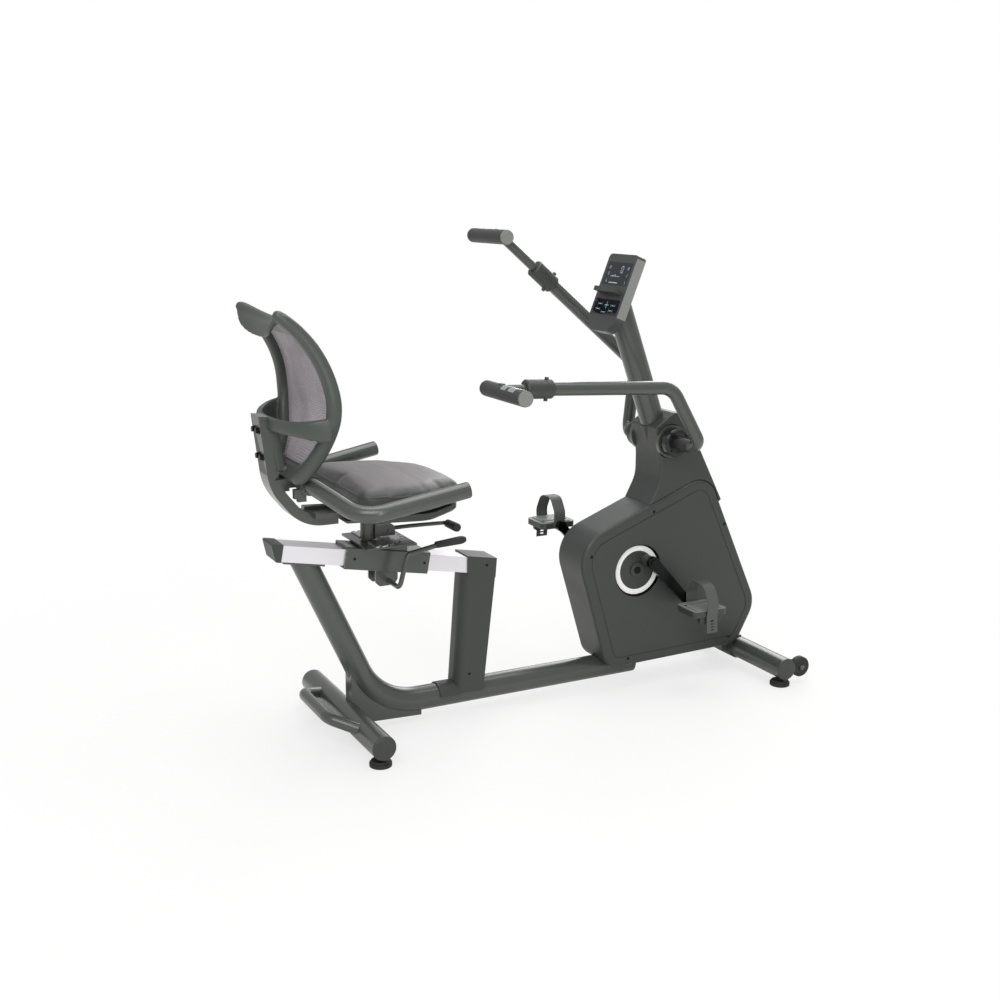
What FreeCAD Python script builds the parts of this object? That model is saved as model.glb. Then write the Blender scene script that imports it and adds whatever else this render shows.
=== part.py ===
"""Recumbent exercise bike with a swivel seat on a sliding carriage and swinging arms.

Frame of the model: millimetres, +X forward from the seat to the console, +Y to the rider's
left, +Z up from the floor. The origin is on the floor under the middle of the bike. A station
is a distance forward of the rear stabilizer; at() turns stations into points of the model.
"""
import FreeCAD, Part
import math
import os
from types import SimpleNamespace
from FreeCAD import Placement, Rotation, Vector

SIZES = [
    ("rear_station", -518.0, "rear stabilizer ahead of the origin"),
    ("wheelbase", 1181.0, "front stabilizer ahead of the rear one"),
    ("stabilizer_radius", 30.0, "round tube of both stabilizers"),
    ("stabilizer_half", 248.0, "half length of a stabilizer tube"),
    ("stabilizer_height", 52.0, "stabilizer axis above the floor"),
    ("tube_wall", 2.5, "wall of the steel tubes"),
    ("foot_inset", 25.0, "foot axis inside the tube end"),
    ("foot_radius", 27.0, "rubber pad of a foot"),
    ("stud_radius", 5.0, "threaded stud of a foot"),
    ("wheel_radius", 28.0, "transport wheel"),
    ("wheel_width", 22.0, "transport wheel"),
    ("wheel_ahead", 60.0, "wheel axle ahead of the front stabilizer axis"),
    ("wheel_height", 46.0, "wheel axle above the floor"),
    ("wheel_side", 229.0, "middle of a wheel from the middle plane"),
    ("wheel_bolt", 4.0, "radius of the bolt that a wheel turns on"),
    ("handle_radius", 14.5, "carry handle behind the rear stabilizer"),
    ("handle_reach", 80.0, "carry handle behind the rear stabilizer's axis"),
    ("handle_rise", 32.0, "grip of the carry handle above the stabilizer's axis"),
    ("running_gap", 0.05, "radial clearance of a shaft in its bore"),
    ("main_radius", 31.0, "bent main tube"),
    ("base_height", 56.0, "axis of the base run above the floor"),
    ("base_corner", 80.0, "station where the leg and the base run would meet"),
    ("base_end", 835.0, "station where the base run ends"),
    ("leg_lean", 24.4, "leg of the main tube off the vertical, degrees"),
    ("main_bend", 170.0, "bend radius of the main tube"),
    ("rail_station", -159.0, "rear end of the rail"),
    ("rail_top", 508.0, "top of the rail at its rear end"),
    ("rail_slope", 10.24, "rail down towards the front, degrees"),
    ("rail_length", 548.0, "seat rail"),
    ("rail_width", 68.0, "seat rail"),
    ("rail_depth", 40.0, "seat rail"),
    ("rail_wall", 3.0, "seat rail"),
    ("carriage_start", 158.0, "carriage from the rail's rear end"),
    ("carriage_length", 220.0, "carriage along the rail"),
    ("carriage_wall", 4.0, "carriage"),
    ("glide_gap", 0.3, "clearance of the glides to the rail"),
    ("glide_thick", 3.0, "glides"),
    ("swivel_station", 66.0, "swivel axis ahead of the rear stabilizer"),
    ("plate_level", 484.0, "underside of the level swivel plate"),
    ("plate_thick", 5.0, "swivel plate"),
    ("pin_radius", 12.0, "swivel pin"),
    ("index_radius", 84.0, "notched index plate"),
    ("seat_level", 576.0, "underside of the seat pan over the rear stabilizer"),
    ("seat_tilt", 3.0, "seat nose down, degrees"),
    ("seat_half_width", 200.0, "cushion"),
    ("seat_front", 276.0, "front of the cushion"),
    ("seat_rear", -32.0, "rear of the cushion"),
    ("pan_depth", 18.0, "seat pan"),
    ("cushion_depth", 58.0, "cushion"),
    ("arm_rest_radius", 19.0, "armrest tube"),
    ("back_bar_thick", 24.0, "back support bar"),
    ("back_bar_width", 60.0, "back support bar"),
    ("back_thick", 34.0, "backrest frame, front to back"),
    ("back_half_width", 190.0, "backrest frame"),
    ("back_rim", 38.0, "width of the backrest frame's members"),
    ("upright_half", 38.0, "half width of the upright cover"),
    ("cover_wall", 3.0, "plastic covers"),
    ("housing_half", 66.0, "half width of the drive housing"),
    ("neck_half", 62.0, "half width of the neck cover"),
    ("crank_station", 811.0, "crank axis"),
    ("crank_height", 332.0, "crank axis above the floor"),
    ("crank_length", 174.5, "pedal axis from the crank axis"),
    ("crank_angle", -35.0, "right crank from forward, degrees up"),
    ("axle_radius", 10.0, "crank axle"),
    ("spindle_radius", 7.0, "pedal spindle"),
    ("disc_radius", 67.0, "crank disc"),
    ("pedal_length", 104.0, "pedal along the foot"),
    ("pedal_width", 90.0, "pedal across the foot"),
    ("flywheel_station", 1040.0, "flywheel axis"),
    ("flywheel_height", 262.0, "flywheel axis above the floor"),
    ("flywheel_radius", 110.0, "flywheel"),
    ("flywheel_width", 30.0, "flywheel"),
    ("flywheel_shaft", 8.0, "radius of the flywheel's shaft"),
    ("brake_pin", 5.0, "radius of the brake's pivot pin"),
    ("pulley_radius", 96.0, "crank pulley"),
    ("small_pulley_radius", 16.0, "flywheel pulley"),
    ("belt_width", 14.0, "drive belt"),
    ("cheek_offset", 37.0, "inner face of a drive frame cheek from the middle plane"),
    ("cheek_thick", 4.0, "drive frame cheek"),
    ("mast_radius", 32.0, "console mast"),
    ("mast_lean", 20.4, "mast back from the vertical, degrees"),
    ("hub_station", 902.0, "axis of the swinging arms"),
    ("hub_height", 676.0, "axis of the swinging arms above the floor"),
    ("hub_radius", 38.0, "flange of a swinging arm"),
    ("hub_shaft", 12.0, "radius of the shaft of a swinging arm"),
    ("arm_side", 172.0, "plane of a swinging arm from the middle plane"),
    ("arm_radius", 17.0, "swinging arm tube"),
    ("arm_swing", 37.0, "angle between the two arms in the stored pose, degrees"),
    ("stem_radius", 12.0, "telescopic stem of a grip"),
    ("left_reach", 38.0, "left stem drawn out beyond the right one"),
    ("grip_radius", 19.0, "grip"),
    ("grip_length", 200.0, "grip"),
    ("console_width", 134.0, "console"),
    ("console_height", 206.0, "console along its face"),
    ("console_depth", 27.0, "console"),
    ("console_lean", 21.5, "top of the console forward, degrees"),
]

doc = FreeCAD.newDocument("exercise_bike")
sheet = doc.addObject("Spreadsheet::Sheet", "Sizes")
for row, (alias, value, note) in enumerate(SIZES, 1):
    sheet.set(f"A{row}", alias)
    sheet.set(f"B{row}", str(value))
    sheet.set(f"C{row}", note)
    sheet.setAlias(f"B{row}", alias)
doc.recompute()
v = SimpleNamespace(**{alias: float(sheet.get(alias)) for alias, value, note in SIZES})

X, Y, Z = Vector(1, 0, 0), Vector(0, 1, 0), Vector(0, 0, 1)
NODES = []


def at(station, side, height):
    """Point of the model at a station, a distance to the left and a height."""
    return Vector(v.rear_station + station, side, height)


def turned_to(direction):
    """Rotation that carries +Z to a direction."""
    return Rotation(Z, direction)


def keep(obj, label):
    """Names a finished piece and adds it to the list of pieces to write."""
    obj.Label = label
    NODES.append(obj)
    return obj


def bind(obj, **formulas):
    """Binds properties of an object to formulas over the sheet's names."""
    for name, formula in formulas.items():
        for alias, value, note in SIZES:
            formula = formula.replace("{" + alias + "}", "Sizes." + alias)
        obj.setExpression(name, formula)
    return obj


def cylinder(radius, length, base, direction):
    """Solid cylinder bound to the sheet, from a base point along a direction."""
    obj = bind(doc.addObject("Part::Cylinder", "Cylinder"), Radius=radius, Height=length)
    obj.Placement = Placement(base, turned_to(direction))
    return obj


def block(length, width, height, corner, turn=Rotation()):
    """Solid box bound to the sheet, from its low corner."""
    obj = bind(doc.addObject("Part::Box", "Box"), Length=length, Width=width, Height=height)
    obj.Placement = Placement(corner, turn)
    return obj


def feature(shape, name="Shape"):
    """Object that holds a shape worked out here."""
    obj = doc.addObject("Part::Feature", name)
    obj.Shape = shape
    return obj


def cut(base, *tools):
    """Boolean difference, one tool after the other."""
    for tool in tools:
        obj = doc.addObject("Part::Cut", "Cut")
        obj.Base = base
        obj.Tool = tool
        base = obj
    return base


def fuse(*parts):
    """Boolean union."""
    obj = doc.addObject("Part::MultiFuse", "Fusion")
    obj.Shapes = list(parts)
    return obj


def common(first, second):
    """Boolean intersection."""
    obj = doc.addObject("Part::MultiCommon", "Common")
    obj.Shapes = [first, second]
    return obj


def group(*parts):
    """Separate solids that share one node."""
    obj = doc.addObject("Part::Compound", "Group")
    obj.Links = list(parts)
    return obj


def rounded(points, radii, closed=True):
    """Curves along a polygon whose corners are tangent arcs of the given radii."""
    count = len(points)
    entries, exits, arcs = [], [], []
    for i, corner in enumerate(points):
        radius = radii[i]
        if radius == 0 or (not closed and i in (0, count - 1)):
            entries.append(corner)
            exits.append(corner)
            arcs.append(None)
            continue
        back = (points[i - 1] - corner).normalize()
        ahead = (points[(i + 1) % count] - corner).normalize()
        half = back.getAngle(ahead) / 2
        reach = radius / math.tan(half)
        middle = (back + ahead).normalize()
        centre = corner + middle * (radius / math.sin(half))
        entries.append(corner + back * reach)
        exits.append(corner + ahead * reach)
        arcs.append(centre - middle * radius)
    curves = []
    for i in range(count):
        if arcs[i] is not None:
            curves.append(Part.Arc(entries[i], arcs[i], exits[i]))
        if i < count - 1 or closed:
            start, end = exits[i], entries[(i + 1) % count]
            if start.distanceToPoint(end) > 1e-6:
                curves.append(Part.LineSegment(start, end))
    return curves


def wire(curves):
    """Wire of a list of curves that follow each other."""
    return Part.Wire([curve.toShape() for curve in curves])


def origin_plane(body, role):
    """One of a body's own origin planes."""
    return next(plane for plane in body.Origin.OriginFeatures if plane.Role == role)


def sketch_on(body, role, curves):
    """Sketch on an origin plane of a body."""
    sketch = body.newObject("Sketcher::SketchObject", "Outline")
    sketch.AttachmentSupport = (origin_plane(body, role), [""])
    sketch.MapMode = "FlatFace"
    for curve in curves:
        sketch.addGeometry(curve, False)
    return sketch


def flat(pairs):
    """Points in a sketch's own plane."""
    return [Vector(a, b, 0) for a, b in pairs]


def padded(role, corners, radii, length, place=Placement(), midplane=True):
    """Body with one rounded outline padded by a length from the sheet."""
    body = doc.addObject("PartDesign::Body", "Body")
    sketch = sketch_on(body, role, rounded(flat(corners), radii))
    pad = body.newObject("PartDesign::Pad", "Pad")
    pad.Profile = sketch
    pad.Midplane = midplane
    bind(pad, Length=length)
    body.Placement = place
    return body


def finish_face(body, kind, size_name, size, lowest):
    """Chamfer or fillet round a body's lowest or highest flat face."""
    doc.recompute()
    base = body.Tip
    levels = [face.CenterOfMass.z for face in base.Shape.Faces]
    chosen = levels.index(min(levels) if lowest else max(levels))
    edge = body.newObject("PartDesign::" + kind, kind)
    edge.Base = (base, [f"Face{chosen + 1}"])
    setattr(edge, size_name, size)


def turned(profile, base, direction):
    """Body turned from a closed profile of (radius, height) about its own Z."""
    body = doc.addObject("PartDesign::Body", "Body")
    points = flat(profile)
    curves = [Part.LineSegment(points[i - 1], points[i]) for i in range(len(points))]
    curves = [c for c in curves if c.StartPoint.distanceToPoint(c.EndPoint) > 1e-6]
    sketch = sketch_on(body, "XZ_Plane", curves)
    turn = body.newObject("PartDesign::Revolution", "Turn")
    turn.Profile = sketch
    turn.ReferenceAxis = (sketch, ["V_Axis"])
    turn.Angle = 360
    body.Placement = Placement(base, turned_to(direction))
    return body


def swept(points, radii, radius, label="Path"):
    """Round bar swept along a path of straight runs and tangent arcs."""
    path = feature(wire(rounded(points, radii, closed=False)), label)
    ring = bind(doc.addObject("Part::Circle", "Section"), Radius=radius)
    ring.Placement = Placement(points[0], turned_to(points[1] - points[0]))
    sweep = doc.addObject("Part::Sweep", "Sweep")
    sweep.Sections = [ring]
    sweep.Spine = (path, [f"Edge{i + 1}" for i in range(len(path.Shape.Edges))])
    sweep.Solid = True
    sweep.Frenet = False
    return sweep


def profile_solid(corners, radii, low_side, high_side):
    """Solid with an outline of (station, height) between two sides."""
    points = [at(station, low_side, height) for station, height in corners]
    face = Part.Face(wire(rounded(points, radii)))
    return face.extrude(Vector(0, high_side - low_side, 0))


def placed(shape, place):
    """Shape carried by a placement."""
    shape = shape.copy()
    shape.Placement = place.multiply(shape.Placement)
    return shape


# ---------------------------------------------------------------- stabilizers, feet, wheels

def stabilizer(station):
    """Hollow cross tube on the floor side of the frame, with holes for the foot studs."""
    base = at(station, -v.stabilizer_half, v.stabilizer_height)
    outer = cylinder("{stabilizer_radius}", "2 * {stabilizer_half}", base, Y)
    inner = cylinder("{stabilizer_radius} - {tube_wall}", "2 * {stabilizer_half}", base, Y)
    holes = []
    for side in (-1, 1):
        spot = at(station, side * (v.stabilizer_half - v.foot_inset), 0)
        holes.append(cylinder("{stud_radius} + {running_gap}", "{stabilizer_height}", spot, Z))
    return cut(outer, inner, *holes)


def stabilizer_cap(station, side):
    """Plastic cap with a thin domed head and a plug inside the tube."""
    head = v.stabilizer_radius
    plug = v.stabilizer_radius - v.tube_wall
    profile = [(0, -12), (plug, -12), (plug, 0), (head, 0), (head - 1, 2.5), (head - 4, 4), (0, 5)]
    return turned(profile, at(station, side * v.stabilizer_half, v.stabilizer_height), Y * side)


def foot(station, side):
    """Levelling foot: rubber pad, steel disc and stud, turned as one."""
    pad = v.foot_radius
    stud = v.stud_radius
    profile = [(0, 0), (pad - 1, 0), (pad, 1), (pad, 9), (pad - 3, 10), (pad - 3, 13), (pad - 5, 15),
               (9, 16), (9, 20), (stud, 20), (stud, 46), (0, 46)]
    return turned(profile, at(station, side * (v.stabilizer_half - v.foot_inset), 0), Z)


def transport_wheel(side):
    """Wheel with a rounded tread, recessed faces and a bore."""
    bore = v.wheel_bolt + v.running_gap
    half = v.wheel_width / 2
    rim = v.wheel_radius
    profile = [(bore, -half), (9, -half), (12, -half + 3), (rim - 7, -half + 3), (rim - 4, -half + 1),
               (rim - 2, -half + 1), (rim, -half + 4), (rim, half - 4), (rim - 2, half - 1),
               (rim - 4, half - 1), (rim - 7, half - 3), (12, half - 3), (9, half), (bore, half)]
    return turned(profile, at(v.wheelbase + v.wheel_ahead, side * v.wheel_side, v.wheel_height), Y)


def wheel_bracket(side):
    """Tab welded to the front stabilizer with the bolt that carries a wheel."""
    gap = 1.0
    thick = 5.0
    inner = v.wheel_side - v.wheel_width / 2 - gap - thick
    axle = (v.wheelbase + v.wheel_ahead, v.wheel_height)
    root = v.wheelbase + v.stabilizer_radius - 6
    corners = [(root, 36), (axle[0], axle[1] - 13), (axle[0] + 13, axle[1]), (axle[0], axle[1] + 13),
               (root, 70)]
    low, high = sorted((side * inner, side * (inner + thick)))
    tab = feature(profile_solid(corners, [0, 9, 9, 9, 0], low, high))
    tube = cylinder("{stabilizer_radius}", "2 * {stabilizer_half}",
                    at(v.wheelbase, -v.stabilizer_half, v.stabilizer_height), Y)
    tab = cut(tab, tube)
    bolt = cylinder("{wheel_bolt}", "{wheel_width} + 8", at(axle[0], side * (inner + 2), axle[1]), Y * side)
    head = turned([(0, 0), (7.5, 0), (7.5, 2.5), (5, 5), (0, 5)],
                  at(axle[0], side * (inner + thick + v.wheel_width + 2 * gap), axle[1]), Y * side)
    return fuse(tab, bolt, head)


handle_half = 143.0
handle_inner = 92.0
handle_foot = v.stabilizer_height + 6
handle_top = v.stabilizer_height + v.handle_rise
handle_points = [at(-10, handle_half, handle_foot), at(-v.handle_reach, handle_inner, handle_top),
                 at(-v.handle_reach, -handle_inner, handle_top), at(-10, -handle_half, handle_foot)]
carry_handle = swept(handle_points, [0, 40, 40, 0], "{handle_radius}")
rear_hollow = cylinder("{stabilizer_radius} - {tube_wall} / 2", "2 * {stabilizer_half}",
                       at(0, -v.stabilizer_half, v.stabilizer_height), Y)
keep(fuse(stabilizer(0), cut(carry_handle, rear_hollow)), "rear_stabilizer")
keep(stabilizer(v.wheelbase), "front_stabilizer")
keep(group(*[stabilizer_cap(station, side) for station in (0, v.wheelbase) for side in (-1, 1)]),
     "stabilizer_caps")
for end, station in (("rear", 0), ("front", v.wheelbase)):
    for hand, side in (("right", -1), ("left", 1)):
        keep(foot(station, side), f"{end}_foot_{hand}")
for hand, side in (("right", -1), ("left", 1)):
    keep(transport_wheel(side), f"transport_wheel_{hand}")
keep(group(wheel_bracket(-1), wheel_bracket(1)), "wheel_brackets")

# ---------------------------------------------------------------- main frame and rail

slope = math.radians(v.rail_slope)
rail_frame = Placement(at(v.rail_station, 0, v.rail_top), Rotation(Y, v.rail_slope))


def on_rail(along, side, above):
    """Point at a distance along the rail, to the left and above its top face."""
    return rail_frame.multVec(Vector(along, side, above))


def rail_block(start, length, half, low, high):
    """Solid box in the rail's own frame."""
    box = Part.makeBox(length, 2 * half, high - low, Vector(start, -half, low))
    box.Placement = rail_frame
    return box


def rail_height(station, above):
    """Height of a plane parallel to the rail's top, measured square to the rail."""
    return v.rail_top - (station - v.rail_station) * math.tan(slope) + above / math.cos(slope)


bracket_thick = 5.0
lean = math.tan(math.radians(v.leg_lean))
rail_half = v.rail_width / 2
leg_top = v.rail_top + 10
leg_points = [at(v.base_corner - (leg_top - v.base_height) * lean, 0, leg_top),
              at(v.base_corner, 0, v.base_height), at(v.base_end, 0, v.base_height)]
leg_outer = swept(leg_points, [0, v.main_bend, 0], "{main_radius}")
leg_inner = swept(leg_points, [0, v.main_bend, 0], "{main_radius} - {tube_wall}")
above_bracket = feature(rail_block(-80, 700, 90, -v.rail_depth - bracket_thick, 200))
main_run = cut(leg_outer, leg_inner, above_bracket)
leg_at_rail = v.base_corner - (v.rail_top - 55 - v.base_height) * lean - v.rail_station
bracket = feature(rail_block(leg_at_rail - 52, 104, rail_half - 2, -v.rail_depth - bracket_thick,
                             -v.rail_depth))
keep(fuse(main_run, bracket), "main_tube")

gusset_side = v.main_radius - 11
gusset_outline = [(7, 158), (7, 74), (12, 50), (40, 24), (195, 18), (195, 40), (150, 60), (30, 120)]
gusset_plate = feature(profile_solid(gusset_outline, [0] * 8, -gusset_side, gusset_side))
gusset_hollow = [(11, 200), (11, 74), (16, 50), (42, 28), (230, 21), (230, 200)]
gusset_void = feature(profile_solid(gusset_hollow, [0] * 6, 4 - gusset_side, gusset_side - 4))
rear_tube = cylinder("{stabilizer_radius}", "2 * {stabilizer_half}",
                     at(0, -v.stabilizer_half, v.stabilizer_height), Y)
keep(cut(gusset_plate, gusset_void, leg_outer, rear_tube), "rear_gusset")

rail_outer = feature(rail_block(0, v.rail_length, rail_half, -v.rail_depth, 0))
rail_inner = feature(rail_block(-5, v.rail_length + 10, rail_half - v.rail_wall,
                                v.rail_wall - v.rail_depth, -v.rail_wall))
keep(cut(rail_outer, rail_inner), "seat_rail")

cap_lip = 1.5
cap_face = Part.Face(wire(rounded([Vector(-31, 0, cap_lip), Vector(0, 0, cap_lip),
                                   Vector(0, 0, -v.rail_depth - cap_lip),
                                   Vector(-13, 0, -v.rail_depth - cap_lip)], [4, 0, 0, 4])))
cap_head = cap_face.extrude(Vector(0, v.rail_width + 2 * cap_lip, 0))
cap_head.translate(Vector(0, -rail_half - cap_lip, 0))
cap_head.Placement = rail_frame.multiply(cap_head.Placement)
cap_plug = rail_block(0, 22, rail_half - v.rail_wall, v.rail_wall - v.rail_depth, -v.rail_wall)
keep(feature(cap_head.fuse(cap_plug)), "rail_end_cap")

# ---------------------------------------------------------------- upright under the rail's front

post_foot = (296.0, 350.0)
post_head = (327.0, 382.0)
post_outline = [(post_foot[0], v.base_height + 20), (post_foot[1], v.base_height + 20),
                (post_head[1], rail_height(post_head[1], -v.rail_depth)),
                (post_head[0], rail_height(post_head[0], -v.rail_depth))]
post_inset = [(post_foot[0] + 3, v.base_height + 20), (post_foot[1] - 3, v.base_height + 20),
              (post_head[1] - 3, rail_height(post_head[1] - 3, -v.rail_depth)),
              (post_head[0] + 3, rail_height(post_head[0] + 3, -v.rail_depth))]
post_solid = feature(profile_solid(post_outline, [0] * 4, -20, 20))
post_void = feature(profile_solid(post_inset, [0] * 4, -17, 17))
keep(cut(post_solid, post_void, leg_outer), "upright_tube")

head_start = 318.0
head_end = 400.0
cover_foot = (284.0, 362.0)
throat = (306.0, 372.0)


def cover_shape(inset, half, top):
    """Upright cover's outside, or its inside at an inset, as a column with a square head."""
    front_head = head_end - inset
    column = profile_solid([(cover_foot[0] + inset, 64), (cover_foot[1] - inset, 64),
                            (front_head, rail_height(front_head, top)), (head_start + 12, 400),
                            (throat[0] + inset, throat[1])], [0, 0, 0, 0, 0], -half, half)
    rear = [edge for edge in column.Edges
            if edge.Length > 250 and edge.BoundBox.XMin - v.rear_station < cover_foot[0] + inset + 1]
    column = column.makeFillet(half - 8, rear)
    head = profile_solid([(head_start + inset, rail_height(head_start, top)),
                          (head_start + inset, rail_height(head_start, -v.rail_depth - 3.3 + inset)),
                          (head_start + 24, 360 + inset), (front_head - 4, 360 + inset),
                          (front_head, rail_height(front_head, top))], [0, 0, 30, 0, 0], -half, half)
    return column.fuse(head).removeSplitter()


collar_start = 243.0
collar_length = 58.0
cover_outer = feature(cover_shape(0, v.upright_half, v.cover_wall + 0.3))
collar = cylinder("{main_radius} + {cover_wall} + 0.3", str(collar_length),
                  at(collar_start, 0, v.base_height), X)
below_collar = block("200", "200", "60", at(collar_start - 20, -100, v.base_height - 58))
cover_void = feature(cover_shape(v.cover_wall, v.upright_half - v.cover_wall, 0.3))
rail_passage = feature(rail_block(100, 600, rail_half + 0.3, -v.rail_depth - 0.3, 0.3))
tube_passage = cylinder("{main_radius} + 0.3", "400", at(collar_start - 50, 0, v.base_height), X)
cover_whole = cut(fuse(cover_outer, cut(collar, below_collar)), cover_void, rail_passage, tube_passage)
right_half = block("2000", "600", "1600", Vector(-1000, -600.05, -50))
left_half = block("2000", "600", "1600", Vector(-1000, 0.05, -50))
keep(common(cover_whole, right_half), "upright_cover_right")
keep(common(cover_whole, left_half), "upright_cover_left")

# ---------------------------------------------------------------- front saddle

saddle_half = 36.0
saddle_outer = cylinder("{stabilizer_radius} + 4", str(2 * saddle_half),
                        at(v.wheelbase, -saddle_half, v.stabilizer_height), Y)
saddle_cut = block("80", "200", "120", at(v.wheelbase + 8, -100, -10))
front_tube = cylinder("{stabilizer_radius}", "2 * {stabilizer_half}",
                      at(v.wheelbase, -v.stabilizer_half, v.stabilizer_height), Y)
saddle_neck = feature(profile_solid([(1128, 92), (1128, 44), (v.wheelbase, 34), (v.wheelbase, 80),
                                     (1160, 92)], [0] * 5, -28, 28))
saddle = cut(fuse(cut(saddle_outer, saddle_cut), saddle_neck), front_tube)
hex_bolt = Part.Face(Part.makePolygon([Vector(9 * math.cos(math.radians(turn)), 9 * math.sin(
    math.radians(turn)), 0) for turn in range(0, 361, 60)])).extrude(Z * 6)
hex_bolt.Placement = Placement(at(v.wheelbase - v.stabilizer_radius - 4, -18, 52), Rotation(Y, -90))
keep(group(saddle, feature(hex_bolt)), "front_saddle")

# ---------------------------------------------------------------- carriage

carriage_inner = rail_half + v.glide_thick + v.glide_gap
carriage_gap = v.glide_thick + v.glide_gap
carriage_outer = carriage_inner + v.carriage_wall
carriage_under = -v.rail_depth - carriage_gap - v.carriage_wall
carriage_over = carriage_gap + v.carriage_wall
carriage_end = v.carriage_start + v.carriage_length
shell = rail_block(v.carriage_start, v.carriage_length, carriage_outer, carriage_under, carriage_over)
shell = shell.makeFillet(3, [e for e in shell.Edges if e.Length > v.carriage_length - 1])
carriage_tunnel = rail_block(v.carriage_start - 5, v.carriage_length + 10, carriage_inner,
                             -v.rail_depth - carriage_gap, carriage_gap)
chamfer_tool = Part.makeBox(40, 2 * carriage_outer + 20, 40, Vector(-20, -carriage_outer - 10, -20))
chamfer_tool.Placement = Placement(on_rail(v.carriage_start - 14, 0, carriage_under - 14),
                                   Rotation(Y, v.rail_slope + 45))
shell = shell.cut(carriage_tunnel).cut(chamfer_tool)
lever_station = 108.0
lever_height = 385.0
ear_outline = [(74, 430), (74, 384), (84, 374), (122, 374), (132, 388), (132, 422)]
for low in (-26.0, 20.0):
    ear = profile_solid(ear_outline, [0, 4, 8, 8, 8, 0], low, low + 6)
    above_ear = rail_block(0, v.rail_length, 60, carriage_under + 0.5, 60)
    shell = shell.fuse(ear.cut(above_ear))
ear_bore = Part.makeCylinder(6.05, 80, at(lever_station, -40, lever_height), Y)
shell = shell.cut(ear_bore)


def glide(start):
    """Plastic sleeve inside one end of the carriage, running on the rail."""
    outer = rail_block(start, 24, carriage_inner, -v.rail_depth - carriage_gap, carriage_gap)
    inner = rail_block(start - 1, 26, rail_half + v.glide_gap, -v.rail_depth - v.glide_gap, v.glide_gap)
    return feature(outer.cut(inner).cut(chamfer_tool))


keep(group(feature(shell), glide(v.carriage_start + 2), glide(carriage_end - 26)), "carriage")

plate_start = 29.0
plate_end = 159.0
plate_half = 84.0
plate = profile_solid([(plate_start, v.plate_level), (plate_end, v.plate_level),
                       (plate_end, v.plate_level + v.plate_thick),
                       (plate_start, v.plate_level + v.plate_thick)], [0] * 4, -plate_half, plate_half)
wedge_outline = [(plate_start + 4, v.plate_level + 1), (plate_start + 4, rail_height(plate_start + 4,
                                                                                    carriage_over)),
                 (plate_end - 6, rail_height(plate_end - 6, carriage_over)),
                 (plate_end - 6, v.plate_level + 1)]
for low in (-38.0, 32.0):
    plate = plate.fuse(profile_solid(wedge_outline, [0] * 4, low, low + 6))
plate = plate.fuse(profile_solid([(plate_end - 12, rail_height(plate_end - 12, carriage_over)),
                                  (plate_end - 6, rail_height(plate_end - 6, carriage_over)),
                                  (plate_end - 6, v.plate_level + 1), (plate_end - 12, v.plate_level + 1)],
                                 [0] * 4, -38, 38))
plate_top = v.plate_level + v.plate_thick
pin = cylinder("{pin_radius}", "58", at(v.swivel_station, 0, plate_top - 2), Z)
keep(fuse(feature(plate), pin), "swivel_base")

index_thick = 3.0
disc = Part.makeCylinder(v.index_radius, index_thick, at(v.swivel_station, 0, plate_top), Z)
disc = disc.cut(Part.makeCylinder(30, 10, at(v.swivel_station, 0, plate_top - 2), Z))
disc = disc.cut(Part.makeBox(200, 400, 20, at(v.swivel_station - 212, -200, plate_top - 5)))
for step in range(-90, 91, 15):
    notch = Part.makeBox(12, 7, 10, Vector(v.index_radius - 8, -3.5, -3))
    notch.Placement = Placement(at(v.swivel_station, 0, plate_top), Rotation(Z, step))
    disc = disc.cut(notch)
keep(feature(disc), "index_plate")

grip_start = 204.0
grip_end = 286.0
lever_side = -94.0
lever_points = [at(lever_station, 34, lever_height), at(lever_station, lever_side, lever_height),
                at(130, lever_side, 467), at(grip_start + 20, lever_side, 483)]
lever_rod = swept(lever_points, [0, 16, 16, 0], "6")
cam = Part.makeCylinder(11, 20, at(lever_station + 4, -10, lever_height + 2), Y)
collar_cut = Part.makeCylinder(5, 24, at(lever_station, -12, lever_height), Y)
lever_cam = feature(cam.cut(collar_cut))
grip_axis = at(grip_end, lever_side, 487) - at(grip_start, lever_side, 481.5)
lever_grip = turned([(6, 0), (8, 0), (8.5, 3), (10, 66), (9, 74), (6, 80), (0, 82), (0, 24), (6, 24)],
                    at(grip_start, lever_side, 481.5), grip_axis)
lever_whole = fuse(lever_rod, lever_cam)
keep(group(lever_whole, cut(lever_grip, lever_rod)), "slide_lever")

# ---------------------------------------------------------------- seat on the swivel

seat_frame = Placement(at(0, 0, v.seat_level), Rotation(Y, v.seat_tilt))
frame_depth = 14.0
sole_depth = 6.0


def seat_box(start, end, low_side, high_side, low, high):
    """Solid box in the tilted frame of the seat."""
    box = Part.makeBox(end - start, high_side - low_side, high - low, Vector(start, low_side, low))
    box.Placement = seat_frame
    return box


bar_half = v.back_bar_width / 2
sole = seat_box(-18, 160, -85, 85, -frame_depth - sole_depth, -frame_depth)
sleeve_radius = 19.0
sleeve_low = plate_top + index_thick + 0.5
sleeve_high = v.seat_level - math.tan(math.radians(v.seat_tilt)) * v.swivel_station - frame_depth - 3
sleeve = Part.makeCylinder(sleeve_radius, sleeve_high - sleeve_low, at(v.swivel_station, 0, sleeve_low), Z)
bore = Part.makeCylinder(v.pin_radius + v.running_gap, 70, at(v.swivel_station, 0, plate_top - 5), Z)
sole_bore = Part.makeCylinder(v.pin_radius + 2, 12, at(v.swivel_station, 0, 540), Z)
lock_block = profile_solid([(76, 499), (128, 499), (128, 521), (120, 527), (76, 527)], [0] * 5, -22, 22)
lock_slot = profile_solid([(86, 490), (135, 490), (135, 530), (86, 530)], [0] * 4, -9, 9)
seat_post = sleeve.fuse(lock_block.cut(lock_slot)).cut(bore).fuse(sole)
lock_pivot = at(112, 0, 510)
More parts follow.
